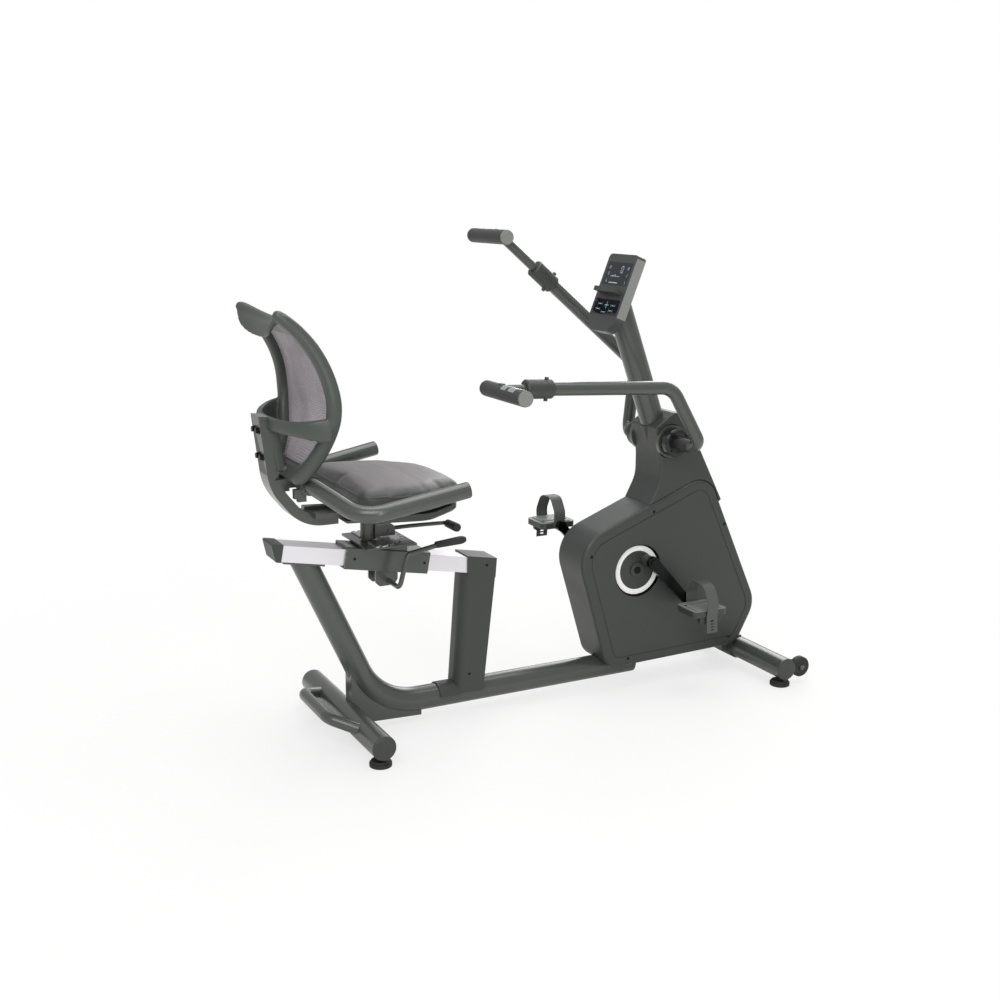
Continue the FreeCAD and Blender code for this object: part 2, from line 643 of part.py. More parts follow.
seat_post = seat_post.cut(Part.makeCylinder(4.05, 60, lock_pivot - Y * 30, Y)).cut(bore)
for side in (-1, 1):
    low, high = sorted((side * (bar_half + 0.5), side * (bar_half + 22)))
    channel = seat_box(-84, 225, low, high, -frame_depth, 0)
    seat_post = seat_post.fuse(channel)
keep(feature(seat_post), "seat_swivel")


def seat_outline(inset):
    """Plan of the seat: square at the back, drawn in to a rounded nose."""
    wide = v.seat_half_width - inset
    return [(v.seat_rear + inset, -wide), (150, -wide), (v.seat_front - inset, -100 + inset),
            (v.seat_front - inset, 100 - inset), (150, wide), (v.seat_rear + inset, wide)]


seat_radii = [42, 90, 62, 62, 90, 42]
pan_inset = 9.0
pan = padded("XY_Plane", seat_outline(pan_inset), [r - 6 for r in seat_radii], "{pan_depth}",
             seat_frame, midplane=False)
finish_face(pan, "Chamfer", "Size", 7, lowest=True)
keep(pan, "seat_pan")

cushion_place = seat_frame.multiply(Placement(Vector(0, 0, v.pan_depth + 0.3), Rotation()))
cushion = padded("XY_Plane", seat_outline(0), seat_radii, "{cushion_depth}", cushion_place,
                 midplane=False)
finish_face(cushion, "Fillet", "Radius", 16, lowest=False)
keep(cushion, "seat_cushion")

rest_side = 282.0
rest_points = [at(200, -rest_side, 656), at(-50, -266, 612), at(-104, -96, 655), at(-110, 0, 660),
               at(-104, 96, 655), at(-50, 266, 612), at(200, rest_side, 656)]
rest_radii = [0, 72, 70, 90, 70, 72, 0]
rest_outer = swept(rest_points, rest_radii, "{arm_rest_radius}")
rest_inner = swept(rest_points, rest_radii, "{arm_rest_radius} - {tube_wall}")
rest_tube = cut(rest_outer, rest_inner)
rest_extras = []
for side in (-1, 1):
    tip = at(200, side * rest_side, 656)
    run = (tip - at(-50, side * 266, 612)).normalize()
    rest_extras.append(turned([(0, -14), (v.arm_rest_radius - v.tube_wall, -14),
                               (v.arm_rest_radius - v.tube_wall, 0), (v.arm_rest_radius, 0),
                               (v.arm_rest_radius - 1, 2), (0, 3)], tip, run))
    inner, outer = at(-107.5, side * 42, 657.4), at(-105, side * 84, 655.4)
    clamp_run = outer - inner
    clamp = Part.makeCylinder(24, clamp_run.Length, inner, clamp_run)
    lug = Part.makeBox(26, 14, 22, at(-140, side * 62 - 7, 624))
    lug = lug.fuse(Part.makeBox(20, 14, 30, at(-131, side * 62 - 7, 616)))
    rest_extras.append(cut(feature(clamp.fuse(lug)), rest_outer))
keep(group(rest_tube, *rest_extras), "armrest_tube")

bar_route = [Vector(-207, 0, 815), Vector(-186, 0, 640), Vector(-110, 0, 545), Vector(-20, 0, 545)]
bar_reach = v.back_bar_thick
bar_curves = rounded([at(p.x, -bar_half, p.z) for p in bar_route], [0, 130, 110, 0], closed=False)
inner_route = [Vector(-207 + bar_reach, 0, 813), Vector(-186 + bar_reach + 2, 0, 648),
               Vector(-110 + 13, 0, 545 + bar_reach), Vector(-20, 0, 545 + bar_reach)]
inner_curves = rounded([at(p.x, -bar_half, p.z) for p in inner_route],
                       [0, 130 - bar_reach, 110 - bar_reach, 0], closed=False)
bar_edges = [c.toShape() for c in bar_curves] + [c.toShape() for c in inner_curves]
bar_edges.append(Part.LineSegment(bar_curves[0].StartPoint, inner_curves[0].StartPoint).toShape())
bar_edges.append(Part.LineSegment(bar_curves[-1].EndPoint, inner_curves[-1].EndPoint).toShape())
bar_face = Part.Face(Part.Wire(Part.__sortEdges__(bar_edges)))
bar = bar_face.extrude(Vector(0, v.back_bar_width, 0))
bridge = profile_solid([(-165, 642), (-112, 642), (-112, 674), (-170, 674)], [0] * 4, -26, 26)
boss = profile_solid([(-178, 692), (-142, 692), (-142, 712), (-178, 712)], [0] * 4, -18, 18)
bar = bar.fuse(bridge.fuse(boss))
bar_bolts = []
for height, lean_back in ((781, -203.5), (718, -196.0)):
    for side in (-14, 14):
        bolt = Part.makeCylinder(6.5, 7, at(lean_back - 7, side, height), X)
        bolt = bolt.fuse(Part.makeCylinder(9, 2, at(lean_back - 1, side, height), X))
        bar_bolts.append(bolt)

back_low = Vector(-150, 0, 664)
back_mid = Vector(-78, 0, 862)
back_high = Vector(-186, 0, 1040)


def back_band(thick):
    """Side view of the backrest as a band that bulges forward at the loins."""
    spine = Part.Arc(at(back_low.x, 0, back_low.z), at(back_mid.x, 0, back_mid.z),
                     at(back_high.x, 0, back_high.z)).toShape().Curve
    centre = spine.Center
    radius = spine.Radius
    outer = Part.makeCylinder(radius + thick / 2, 500, centre - Y * 250, Y)
    inner = Part.makeCylinder(radius - thick / 2, 520, centre - Y * 260, Y)
    sector = profile_solid([(back_low.x - 60, back_low.z - 2), (40, back_low.z - 2), (40, 1110),
                            (back_high.x - 60, 1110)], [0] * 4, -260, 260)
    return outer.cut(inner).common(sector)


def ring_solid(inset, top_dip):
    """Front view of the backrest, narrow at the foot and widest at the loins, along X."""
    wide = v.back_half_width + 8 - inset
    loins = 835
    low = 112 - inset * 0.8
    high = 148 - inset * 0.9
    foot_level = back_low.z + inset
    top_level = 1065 - inset * 1.5
    corners = [Vector(v.rear_station - 300, side, height) for side, height in
               [(-low, foot_level), (-wide, loins), (-high, top_level), (high, top_level), (wide, loins),
                (low, foot_level)]]
    radii = [50 - inset * 0.6, 120, 34 - inset * 0.4, 34 - inset * 0.4, 120, 50 - inset * 0.6]
    solid = Part.Face(wire(rounded(corners, radii))).extrude(X * 500)
    if top_dip:
        reach = 330.0
        dip = Part.makeCylinder(reach, 600, Vector(v.rear_station - 350, 0, top_level + reach - top_dip), X)
        solid = solid.cut(dip)
    return solid


band = back_band(v.back_thick)
ring = band.common(ring_solid(0, 28)).cut(ring_solid(v.back_rim, 0))
lumbar_out = Part.Ellipse(Vector(0, 0, 0), 180, 98).toShape()
lumbar_in = Part.Ellipse(Vector(0, 0, 0), 164, 82).toShape()
lumbar = Part.Face(Part.Wire([lumbar_out])).extrude(Z * 30).cut(
    Part.Face(Part.Wire([lumbar_in])).extrude(Z * 30))
lumbar.Placement = Placement(at(-82, 0, 782), Rotation(Z, 90))
lumbar = lumbar.common(Part.makeBox(200, 500, 100, at(-282, -250, 750)))
ring = ring.fuse(lumbar)
keep(group(cut(feature(bar), feature(ring), rest_outer), *[feature(bolt) for bolt in bar_bolts]),
     "back_bar")
rest_clearance = swept(rest_points, rest_radii, "{arm_rest_radius} + 5.5")
keep(cut(feature(ring), rest_clearance), "backrest_frame")
mesh_thick = 2.4
mesh = back_band(mesh_thick).common(ring_solid(v.back_rim, 0))
keep(feature(mesh), "backrest_mesh")

hook_points = [at(88, 0, 511), at(180, 0, 511), at(268, -16, 513), at(271, -60, 512.4)]
upper_rod = swept(hook_points, [0, 40, 12, 0], "5")
hub_eye = feature(Part.makeCylinder(9, 16, lock_pivot - Y * 8, Y).cut(
    Part.makeCylinder(4, 16, lock_pivot - Y * 8, Y)))
lock_pin = feature(Part.makeCylinder(4, 50, lock_pivot - Y * 25, Y))
upper_run = hook_points[3] - hook_points[2]
upper_grip = turned([(0, -4), (8, -4), (10, 0), (11, 44), (10, 50), (0, 51)],
                    at(268.6, -24, 512.8), upper_run)
keep(group(fuse(cut(upper_rod, upper_grip), hub_eye, lock_pin), upper_grip), "swivel_lever")

# ---------------------------------------------------------------- drive housing and neck

housing_corners = [(1032, 580), (1212, 190), (1150, 74), (722, 66), (616, 420)]
housing_radii = [66.0, 78.0, 52.0, 52.0, 92.0]
neck_corners = [(842, 505), (874, 566), (874, 640), (856, 714), (912, 751), (948, 746), (1078, 500),
                (1000, 440), (842, 440)]
neck_radii = [0, 90, 200, 5, 5, 16, 0, 0, 0]
crank_axis = at(v.crank_station, 0, v.crank_height)
hub_axis = at(v.hub_station, 0, v.hub_height)
flywheel_axis = at(v.flywheel_station, 0, v.flywheel_height)
brake_pivot = at(968, 0, 138)
mast_direction = Vector(-math.sin(math.radians(v.mast_lean)), 0, math.cos(math.radians(v.mast_lean)))


def inset_solid(corners, radii, inset, half):
    """Solid with a rounded outline moved in by an inset, out to half a width each side."""
    points = [at(station, 0, height) for station, height in corners]
    outline = wire(rounded(points, radii))
    if inset:
        outline = outline.makeOffset2D(-inset)
    face = Part.Face(outline)
    face.translate(Vector(0, -half, 0))
    return face.extrude(Vector(0, 2 * half, 0))


def side_edges(solid, half):
    """Edges of the outline on both side faces of a solid."""
    return [edge for edge in solid.Edges
            if abs(edge.BoundBox.YMin) > half - 0.1 and edge.BoundBox.YLength < 0.1]


housing_outer = inset_solid(housing_corners, housing_radii, 0, v.housing_half)
housing_outer = housing_outer.makeFillet(11, side_edges(housing_outer, v.housing_half))
housing_void = inset_solid(housing_corners, housing_radii, v.cover_wall, v.housing_half - v.cover_wall)
housing_void = housing_void.makeFillet(8, side_edges(housing_void, v.housing_half - v.cover_wall))
disc_recess = Part.makeCylinder(v.disc_radius + 5, 400, crank_axis - Y * 200, Y)
groove_outer = inset_solid(housing_corners, housing_radii, 27, v.housing_half + 1)
groove_inner = inset_solid(housing_corners, housing_radii, 30, v.housing_half + 2)
groove = groove_outer.cut(groove_inner)
groove = groove.cut(inset_solid(housing_corners, housing_radii, 0, v.housing_half - 1.4))
base_slot = Part.makeCylinder(v.main_radius + 0.5, 300, at(600, 0, v.base_height), X)
saddle_slot = profile_solid([(1100, 96), (1100, 30), (1240, 30), (1240, 96)], [0] * 4, -30, 30)
screw_spots = [(856, 489), (1089, 430), (664, 387), (1120, 99), (786, 88)]
screw_seat = v.housing_half - 12
screw_cups = []
screw_holes = []
for station, height in screw_spots:
    for side in (-1, 1):
        spot = at(station, side * (screw_seat - 4), height)
        screw_cups.append(Part.makeCylinder(7.5, v.housing_half - 2 - screw_seat + 4, spot, Y * side))
        screw_holes.append(Part.makeCylinder(4.5, 20, at(station, side * screw_seat, height), Y * side))
        screw_holes.append(Part.makeCylinder(2.1, 20, spot, Y * side))
mast_slot = Part.makeCylinder(v.cheek_offset + 2, 230, hub_axis, mast_direction * -1)
housing_shell = housing_outer.cut([housing_void, disc_recess, groove, base_slot, saddle_slot, mast_slot])
housing_shell = housing_shell.fuse(screw_cups).cut(screw_holes)
housing_shell = feature(housing_shell)
keep(common(housing_shell, right_half), "housing_right")
keep(common(housing_shell, left_half), "housing_left")

neck_outer = inset_solid(neck_corners, neck_radii, 0, v.neck_half)
neck_outer = neck_outer.makeFillet(4, side_edges(neck_outer, v.neck_half))
neck_void = inset_solid(neck_corners, [0] * 9, v.cover_wall, v.neck_half - v.cover_wall)
hub_half = 60.0
mast_gap = 0.6
for side in (-1, 1):
    hub_face = hub_axis + Y * side * (hub_half - 3)
    neck_void = neck_void.fuse(Part.makeCylinder(v.hub_radius + 7.5, 60, hub_face, Y * side))
mast_passage = Part.makeCylinder(v.mast_radius + mast_gap, 500, hub_axis, mast_direction)
mast_bulge = Part.makeCylinder(v.mast_radius + mast_gap + v.cover_wall, 200, hub_axis, mast_direction)
below_top = profile_solid([(800, 677), (912, 751), (912, 640), (800, 640)], [0] * 4, -60, 60)
neck_outer = neck_outer.fuse(mast_bulge.common(below_top))
housing_plain = inset_solid(housing_corners, housing_radii, -0.3, v.housing_half + 5)
neck_shell = neck_outer.cut([neck_void, mast_passage, housing_plain])
neck_shell = feature(neck_shell)
keep(common(neck_shell, right_half), "neck_cover_right")
keep(common(neck_shell, left_half), "neck_cover_left")

# ---------------------------------------------------------------- drive frame and mast

cheek_outline = [(748, 92), (1165, 92), (1140, 140), (1132, 250), (1012, 500), (960, 520), (790, 392),
                 (768, 330), (780, 200)]
cheek_outer = v.cheek_offset + v.cheek_thick
drive = profile_solid(cheek_outline, [0, 0, 0, 40, 10, 10, 30, 30, 60], -cheek_outer, cheek_outer)
drive = drive.cut(profile_solid([(600, 0), (1300, 0), (1300, 700), (600, 700)], [0] * 4,
                                -v.cheek_offset, v.cheek_offset))
window = profile_solid([(880, 150), (960, 150), (950, 330), (880, 290)], [20] * 4, -60, 60)
drive = drive.cut(window)
beam = profile_solid([(748, 92), (1128, 92), (1128, 118), (748, 118)], [0] * 4, -24, 24)
beam_void = profile_solid([(748, 95), (1128, 95), (1128, 115), (748, 115)], [0] * 4, -21, 21)
drive = drive.fuse(beam.cut(beam_void))
cross = profile_solid([(752, 92), (792, 92), (792, 96), (752, 96)], [0] * 4, -v.cheek_offset, v.cheek_offset)
front_cross = profile_solid([(1122, 92), (1160, 92), (1160, 96), (1122, 96)], [0] * 4, -v.cheek_offset,
                            v.cheek_offset)
drive = drive.fuse([cross, front_cross])
drive = drive.common(inset_solid(housing_corners, housing_radii, v.cover_wall + 1.5, v.housing_half))
post_web = profile_solid([(760, 70), (830, 70), (830, 92), (760, 92)], [0] * 4, -16, 16)
drive = drive.fuse(post_web).cut(Part.makeCylinder(v.main_radius, 300, at(600, 0, v.base_height), X))
bearing_radius = 22.0
bearing_reach = cheek_outer + 4
for low, high in ((-bearing_reach, 4.0), (v.cheek_offset, bearing_reach)):
    drive = drive.fuse(Part.makeCylinder(bearing_radius, high - low, crank_axis + Y * low, Y))
shafts = [(crank_axis, v.axle_radius), (flywheel_axis, v.flywheel_shaft), (brake_pivot, v.brake_pin)]
for centre, radius in shafts:
    drive = drive.cut(Part.makeCylinder(radius + v.running_gap, 200, centre - Y * 100, Y))
socket_radius = v.cheek_offset + 1
socket_start = hub_axis - mast_direction * 232
mast_bottom = hub_axis - mast_direction * 226
socket_outer = Part.makeCylinder(socket_radius, 130, socket_start, mast_direction)
drive = drive.fuse(socket_outer).cut(Part.makeCylinder(v.mast_radius, 150, mast_bottom, mast_direction))
keep(feature(drive), "drive_frame")

console_frame = Placement(at(710, 0, 977), Rotation(Y, v.console_lean))


def console_box(low, high):
    """Solid box between two corners in the console's own frame."""
    box = Part.makeBox(high.x - low.x, high.y - low.y, high.z - low.z, low)
    box.Placement = console_frame
    return box


mast = Part.makeCylinder(v.mast_radius, 700, mast_bottom, mast_direction)
mast = mast.cut(Part.makeCylinder(v.mast_radius - v.tube_wall, 700, mast_bottom, mast_direction))
mast = mast.cut(console_box(Vector(-400, -100, -200), Vector(v.console_depth, 100, 700)))
mast = mast.cut(console_box(Vector(-400, -100, 145), Vector(400, 100, 700)))
mast_plate = console_box(Vector(v.console_depth, -34, 28), Vector(v.console_depth + 4, 34, 128))
mast = mast.fuse(mast_plate)
mast = mast.fuse(Part.makeCylinder(v.hub_shaft + 8, 2 * hub_half, hub_axis - Y * hub_half, Y))
for side in (-1, 1):
    mast = mast.fuse(Part.makeCylinder(v.hub_radius + 6, 12, hub_axis + Y * side * (hub_half - 2), Y * side))
mast = mast.cut(Part.makeCylinder(v.hub_shaft + v.running_gap, 300, hub_axis - Y * 150, Y))
keep(feature(mast), "mast")

# ---------------------------------------------------------------- crank, pulleys, flywheel, belt

disc_in = 47.0
disc_out = 58.0
crank_in = 96.0
crank_out = 109.0
pedal_in = 115.0
axle_end = disc_out + 4
keep(cylinder("{axle_radius}", str(2 * axle_end), crank_axis - Y * axle_end, Y), "crank_axle")
boss_offset = Vector(22, 0, 28)
pedal_turn = math.radians(v.crank_angle)
pedal_offset = Vector(math.cos(pedal_turn), 0, math.sin(pedal_turn)) * v.crank_length


def pedal_centre(side):
    """Middle of the pedal's axis on one side."""
    return crank_axis + pedal_offset * -side + Y * side * (pedal_in + v.pedal_width / 2)


def crank_disc(side):
    """Disc on the axle with a raised rim and the stud that carries the crank."""
    rim = v.disc_radius
    profile = [(v.axle_radius, disc_in), (30, disc_in), (rim, disc_out - 5), (rim, disc_out),
               (rim - 14, disc_out), (rim - 14, disc_out - 1.5), (20, disc_out - 1.5), (20, disc_out + 3),
               (v.axle_radius, disc_out + 3)]
    stud = Part.makeCylinder(15, crank_in - disc_out + 3, crank_axis + boss_offset * -side
                             + Y * side * (disc_out - 3), Y * side)
    return fuse(turned(profile, crank_axis, Y * side), feature(stud))


def crank_arm(side):
    """Flat bar from the stud on the disc to the pedal's spindle."""
    start = crank_axis + boss_offset * -side + Y * side * crank_in
    end = crank_axis + pedal_offset * -side + Y * side * crank_in
    across = (end - start).cross(Y).normalize()
    outline = [start + across * 15, end + across * 11, end - across * 11, start - across * 15]
    thick = crank_out - crank_in
    arm = Part.Face(wire(rounded(outline, [0] * 4))).extrude(Y * side * thick)
    arm = arm.fuse([Part.makeCylinder(17, thick, start, Y * side),
                    Part.makeCylinder(14, thick, end, Y * side),
                    Part.makeCylinder(10, 3, start + Y * side * thick, Y * side),
                    Part.makeCylinder(v.spindle_radius, crank_out - crank_in + 6 + v.pedal_width - 12, end,
                                      Y * side)])
    return feature(arm)


keep(group(crank_disc(-1), crank_disc(1)), "crank_discs")
keep(group(crank_arm(-1), crank_arm(1)), "crank_arms")

belt_low = 9.0
belt_high = belt_low + v.belt_width
pulley = v.pulley_radius
pulley_profile = [(v.axle_radius, belt_low - 3), (26, belt_low - 3), (26, belt_low + 3),
                  (pulley - 12, belt_low + 3), (pulley - 12, belt_low - 1.5), (pulley + 3, belt_low - 1.5),
                  (pulley, belt_low - 0.2), (pulley, belt_high + 0.2), (pulley + 3, belt_high + 1.5),
                  (pulley - 12, belt_high + 1.5), (pulley - 12, belt_high - 3),
                  (v.axle_radius, belt_high - 3)]
keep(turned(pulley_profile, crank_axis, Y), "drive_pulley")

small = v.small_pulley_radius
wheel_high = belt_low - 6
wheel_low = wheel_high - v.flywheel_width
shaft = v.flywheel_shaft
shaft_end = cheek_outer + 6
rim = v.flywheel_radius
flywheel_profile = [(0, -shaft_end), (shaft, -shaft_end), (shaft, wheel_low - 6), (18, wheel_low - 6),
                    (18, wheel_low + 8), (rim - 26, wheel_low + 8), (rim - 22, wheel_low),
                    (rim, wheel_low), (rim, wheel_high), (rim - 22, wheel_high),
                    (rim - 26, wheel_high - 8), (small + 3, wheel_high - 8), (small + 3, belt_low - 1),
                    (small, belt_low - 1), (small, belt_high + 1), (small + 3, belt_high + 1),
                    (small + 3, belt_high + 3), (shaft, belt_high + 3), (shaft, shaft_end), (0, shaft_end)]
keep(turned(flywheel_profile, flywheel_axis, Y), "flywheel")


def belt_face(offset):
    """Loop round both pulleys at an offset from them."""
    span = flywheel_axis - crank_axis
    reach = span.Length
    large_radius, small_radius = v.pulley_radius + offset, v.small_pulley_radius + offset
    tilt = math.acos((large_radius - small_radius) / reach)
    heading = math.atan2(span.z, span.x)

    def on(centre, radius, angle):
        return centre + Vector(math.cos(heading + angle), 0, math.sin(heading + angle)) * radius

    top = on(crank_axis, large_radius, tilt), on(flywheel_axis, small_radius, tilt)
    low = on(crank_axis, large_radius, -tilt), on(flywheel_axis, small_radius, -tilt)
    curves = [Part.LineSegment(top[0], top[1]),
              Part.Arc(top[1], on(flywheel_axis, small_radius, 0), low[1]),
              Part.LineSegment(low[1], low[0]),
              Part.Arc(low[0], on(crank_axis, large_radius, math.pi), top[0])]
    return Part.Face(wire(curves))


belt = belt_face(3.3).cut(belt_face(0.3)).extrude(Y * v.belt_width)
belt.translate(Y * belt_low)
keep(feature(belt), "drive_belt")

brake_inner = v.flywheel_radius + 3
brake_band = Part.makeCylinder(brake_inner + 6, 34, flywheel_axis + Y * (wheel_low - 2), Y)
brake_band = brake_band.cut(Part.makeCylinder(brake_inner, 40, flywheel_axis + Y * (wheel_low - 4), Y))
brake_sector = profile_solid([(v.flywheel_station, v.flywheel_height),
                              (v.flywheel_station - 90, v.flywheel_height - 156),
                              (v.flywheel_station + 90, v.flywheel_height - 156)], [0] * 3, -60, 60)
brake_band = brake_band.common(brake_sector)
brake_link = profile_solid([(962, 128), (990, 152), (994, 158), (978, 168), (960, 144)], [0] * 5, -12, 4)
brake_link = brake_link.cut(Part.makeCylinder(brake_inner, 80, flywheel_axis - Y * 40, Y))
brake = brake_band.fuse([brake_link, Part.makeCylinder(9, 30, brake_pivot - Y * 20, Y),
                         Part.makeCylinder(v.brake_pin, 2 * (cheek_outer + 4),
                                           brake_pivot - Y * (cheek_outer + 4), Y)])
keep(feature(brake), "magnet_brake")

# ---------------------------------------------------------------- pedals and straps

pedal_half = v.pedal_width / 2
platform_half = 8.0
strap_width = 34.0


def pedal(side):
    """Platform round the spindle with a weighted keel and two pads on top."""
    centre = pedal_centre(side)
    outline = [(-v.pedal_length / 2, -pedal_half), (v.pedal_length / 2, -pedal_half),
               (v.pedal_length / 2, pedal_half), (-v.pedal_length / 2, pedal_half)]
    face = Part.Face(wire(rounded([Vector(a, b, -platform_half) for a, b in outline], [14] * 4)))
    body = face.extrude(Z * 2 * platform_half)
    for start in (-40.0, 15.0):
        body = body.cut(Part.makeBox(25, v.pedal_width - 20, 40, Vector(start, 10 - pedal_half, -20)))
        body = body.fuse(Part.makeBox(25, 6, 12, Vector(start, -3, -platform_half)))
    body = body.fuse(Part.makeCylinder(13, v.pedal_width, Vector(0, -pedal_half, 0), Y))
    keel = Part.makeBox(66, 12, 22, Vector(-33, pedal_half - 16, -28))
    keel = keel.makeFillet(6, [e for e in keel.Edges if e.BoundBox.YLength > 11 and e.BoundBox.ZMin < -25])
    body = body.fuse(keel)
    body = body.common(Part.makeBox(200, 200, 36 + platform_half, Vector(-100, -100, -36)))
    bore = Part.makeCylinder(v.spindle_radius + v.running_gap, v.pedal_width - 4,
                             Vector(0, -pedal_half - 0.5, 0), Y)
    body = body.cut(bore)
    pads = []
    for start, length in ((-pedal_half + 5, 14), (-pedal_half + 27, 56)):
        pad = Part.Face(wire(rounded([Vector(-40, start, platform_half), Vector(40, start, platform_half),
                                      Vector(40, start + length, platform_half),
                                      Vector(-40, start + length, platform_half)], [6] * 4)))
        pads.append(pad.extrude(Z * 2.5))
    place = Placement(centre, Rotation(Z, 0 if side > 0 else 180))
    return [feature(placed(piece, place)) for piece in [body] + pads]


def strap(side):
    """Slotted rubber band over the instep, from one edge of the pedal to the other."""
    centre = pedal_centre(side)
    thick = 2.5
    inner = pedal_half + 0.2 + thick / 2
    spots = [Vector(0, -inner, -6), Vector(0, -inner - 3, 38), Vector(0, -inner + 22, 76),
             Vector(0, inner - 18, 74), Vector(0, inner + 8, 26), Vector(0, inner + 1, -8),
             Vector(0, inner + 5, -52)]
    middle = rounded(spots, [0, 26, 26, 34, 30, 20, 0], closed=False)
    ribbon = wire(middle).makeOffset2D(thick / 2, fill=True, openResult=True)
    solid = ribbon.extrude(X * strap_width)
    solid.translate(X * -strap_width / 2)
    for step in range(4):
        slot = Part.makeBox(10, 20, 4, Vector(-5, inner - 6, -22 - 8 * step))
        solid = solid.cut(slot)
    spindle_hole = Part.makeCylinder(v.spindle_radius + 2, 20, Vector(0, -inner - 10, 0), Y)
    solid = solid.cut(spindle_hole)
    place = Placement(centre, Rotation(Z, 0 if side > 0 else 180))
    return feature(placed(solid, place))


for hand, side in (("right", -1), ("left", 1)):
    keep(group(*pedal(side)), f"pedal_{hand}")
    keep(strap(side), f"pedal_strap_{hand}")

# ---------------------------------------------------------------- console and tablet ledge

console_half = v.console_width / 2
console_top = v.console_height - 7
chin = console_top - v.console_height
console_outline = [(-console_half, console_top), (-console_half, 26), (-38, chin), (38, chin),
                   (console_half, 26), (console_half, console_top)]
console_shell = padded("YZ_Plane", console_outline, [12, 30, 30, 30, 30, 12], "{console_depth}",
                       console_frame, midplane=False)
display_half = 58.0
display_low = 115.0
display_high = 177.0
keypad_low = 36.0
keypad_high = 78.0
pane_thick = 1.5
ledge_level = 92.0
ledge_half = 52.0


def console_pane(low, high, sunk):
    """Flat pane let into the face of the console, or the pocket for it."""
    return feature(console_box(Vector(-sunk, -display_half, low), Vector(pane_thick, display_half, high)))


pockets = [console_pane(display_low, display_high, 2), console_pane(keypad_low, keypad_high, 2)]
ledge_pocket = feature(console_box(Vector(-2, -ledge_half, ledge_level),
                                   Vector(6, ledge_half, ledge_level + 5)))
panes = [console_pane(display_low, display_high, 0), console_pane(keypad_low, keypad_high, 0)]
keep(group(cut(console_shell, *pockets, ledge_pocket), *panes), "console_body")
ledge = console_box(Vector(-22, -ledge_half, ledge_level), Vector(6, ledge_half, ledge_level + 5))
ledge = ledge.fuse(console_box(Vector(-22, -ledge_half, ledge_level),
                               Vector(-18, ledge_half, ledge_level + 12)))
keep(feature(ledge), "tablet_ledge")

# ---------------------------------------------------------------- swinging arms

arm_low = at(925, -v.arm_side, v.hub_height - 4)
arm_bend = at(826, -v.arm_side, 837)
arm_rear = Vector(-0.99863, 0, 0.05234)
arm_mouth = 455.0
sleeve_start = 402.0
sleeve_step = 449.0
sleeve_end = 476.0
stem_start = 560.0
grip_station = 316.0
flange_in = 74.0
flange_out = 98.0


def on_arm(station):
    """Point on the straight run of the right arm."""
    return arm_bend + arm_rear * ((826 - station) / -arm_rear.x)


def swung(shape, side):
    """Shape of the right arm as it stands, or mirrored and swung up for the left arm."""
    if side < 0:
        return feature(shape)
    twin = shape.mirror(Vector(0, 0, 0), Y)
    twin.rotate(hub_axis, Y, v.arm_swing)
    return feature(twin)


arm_path = [on_arm(arm_mouth), arm_bend, arm_low, at(v.hub_station, -124, v.hub_height),
            at(v.hub_station, -94, v.hub_height)]
arm_solid = swept(arm_path, [0, 60, 28, 14, 0], "{arm_radius}")
doc.recompute()
arm_hollow = Part.makeCylinder(v.arm_radius - 2, 300, on_arm(arm_mouth), arm_rear * -1)
flange = Part.makeCylinder(v.hub_radius, flange_out - flange_in, hub_axis - Y * flange_in, Y * -1)
flange = flange.makeFillet(5, [e for e in flange.Edges if e.BoundBox.YMax < 1 - flange_out])
hub_shaft = Part.makeCylinder(v.hub_shaft, flange_in - 4 + 2, hub_axis - Y * 4, Y * -1)
arm_shape = arm_solid.Shape.cut(arm_hollow).fuse([flange, hub_shaft])

sleeve_length = (sleeve_end - sleeve_start) / -arm_rear.x
step_length = (sleeve_step - sleeve_start) / -arm_rear.x
stem_bore = v.stem_radius + v.running_gap
sleeve_profile = [(stem_bore, 0), (21, 0), (23.5, 3), (23.5, sleeve_length - 3), (21, sleeve_length),
                  (v.arm_radius, sleeve_length), (v.arm_radius, step_length), (stem_bore, step_length)]
sleeve_face = Part.Face(wire(rounded([Vector(r, 0, h) for r, h in sleeve_profile], [0] * 8)))
sleeve = sleeve_face.revolve(Vector(0, 0, 0), Z, 360)
bolt_level = step_length + 12
sleeve_bolts = [Part.makeCylinder(5, 6, Vector(-23, 0, bolt_level), X * -1),
                Part.makeCylinder(5, 6, Vector(23, 0, bolt_level), X)]
sleeve = sleeve.fuse(sleeve_bolts)
sleeve = placed(sleeve, Placement(on_arm(sleeve_start), turned_to(arm_rear * -1)))

grip_inner = v.arm_side - 31
grip_middle = at(grip_station, 0, on_arm(grip_station).z)
core_radius = 13.0
core = Part.makeCylinder(core_radius, v.grip_length - 8, grip_middle - Y * (grip_inner + 4), Y * -1)
stem_rod = Part.makeCylinder(v.stem_radius, (stem_start - grip_station) / -arm_rear.x, on_arm(grip_station),
                             arm_rear * -1)
stem_shape = stem_rod.fuse(core)

grip_sleeve = Part.makeCylinder(v.grip_radius, v.grip_length - 8, grip_middle - Y * (grip_inner + 4), Y * -1)
grip_sleeve = grip_sleeve.cut([core, stem_rod])
button_side = v.arm_side + 49
button_low = core_radius + 2.2
button_high = v.grip_radius + 1.5
button_half = (9.0, 5.0)
button_gap = 0.4


def button_box(gap, low, high):
    """Block of the grip's button, or the pocket that it travels in."""
    a, b = button_half[0] + gap, button_half[1] + gap
    return Part.makeBox(2 * b, 2 * a, high - low, grip_middle + Vector(-b, -button_side - a, low))


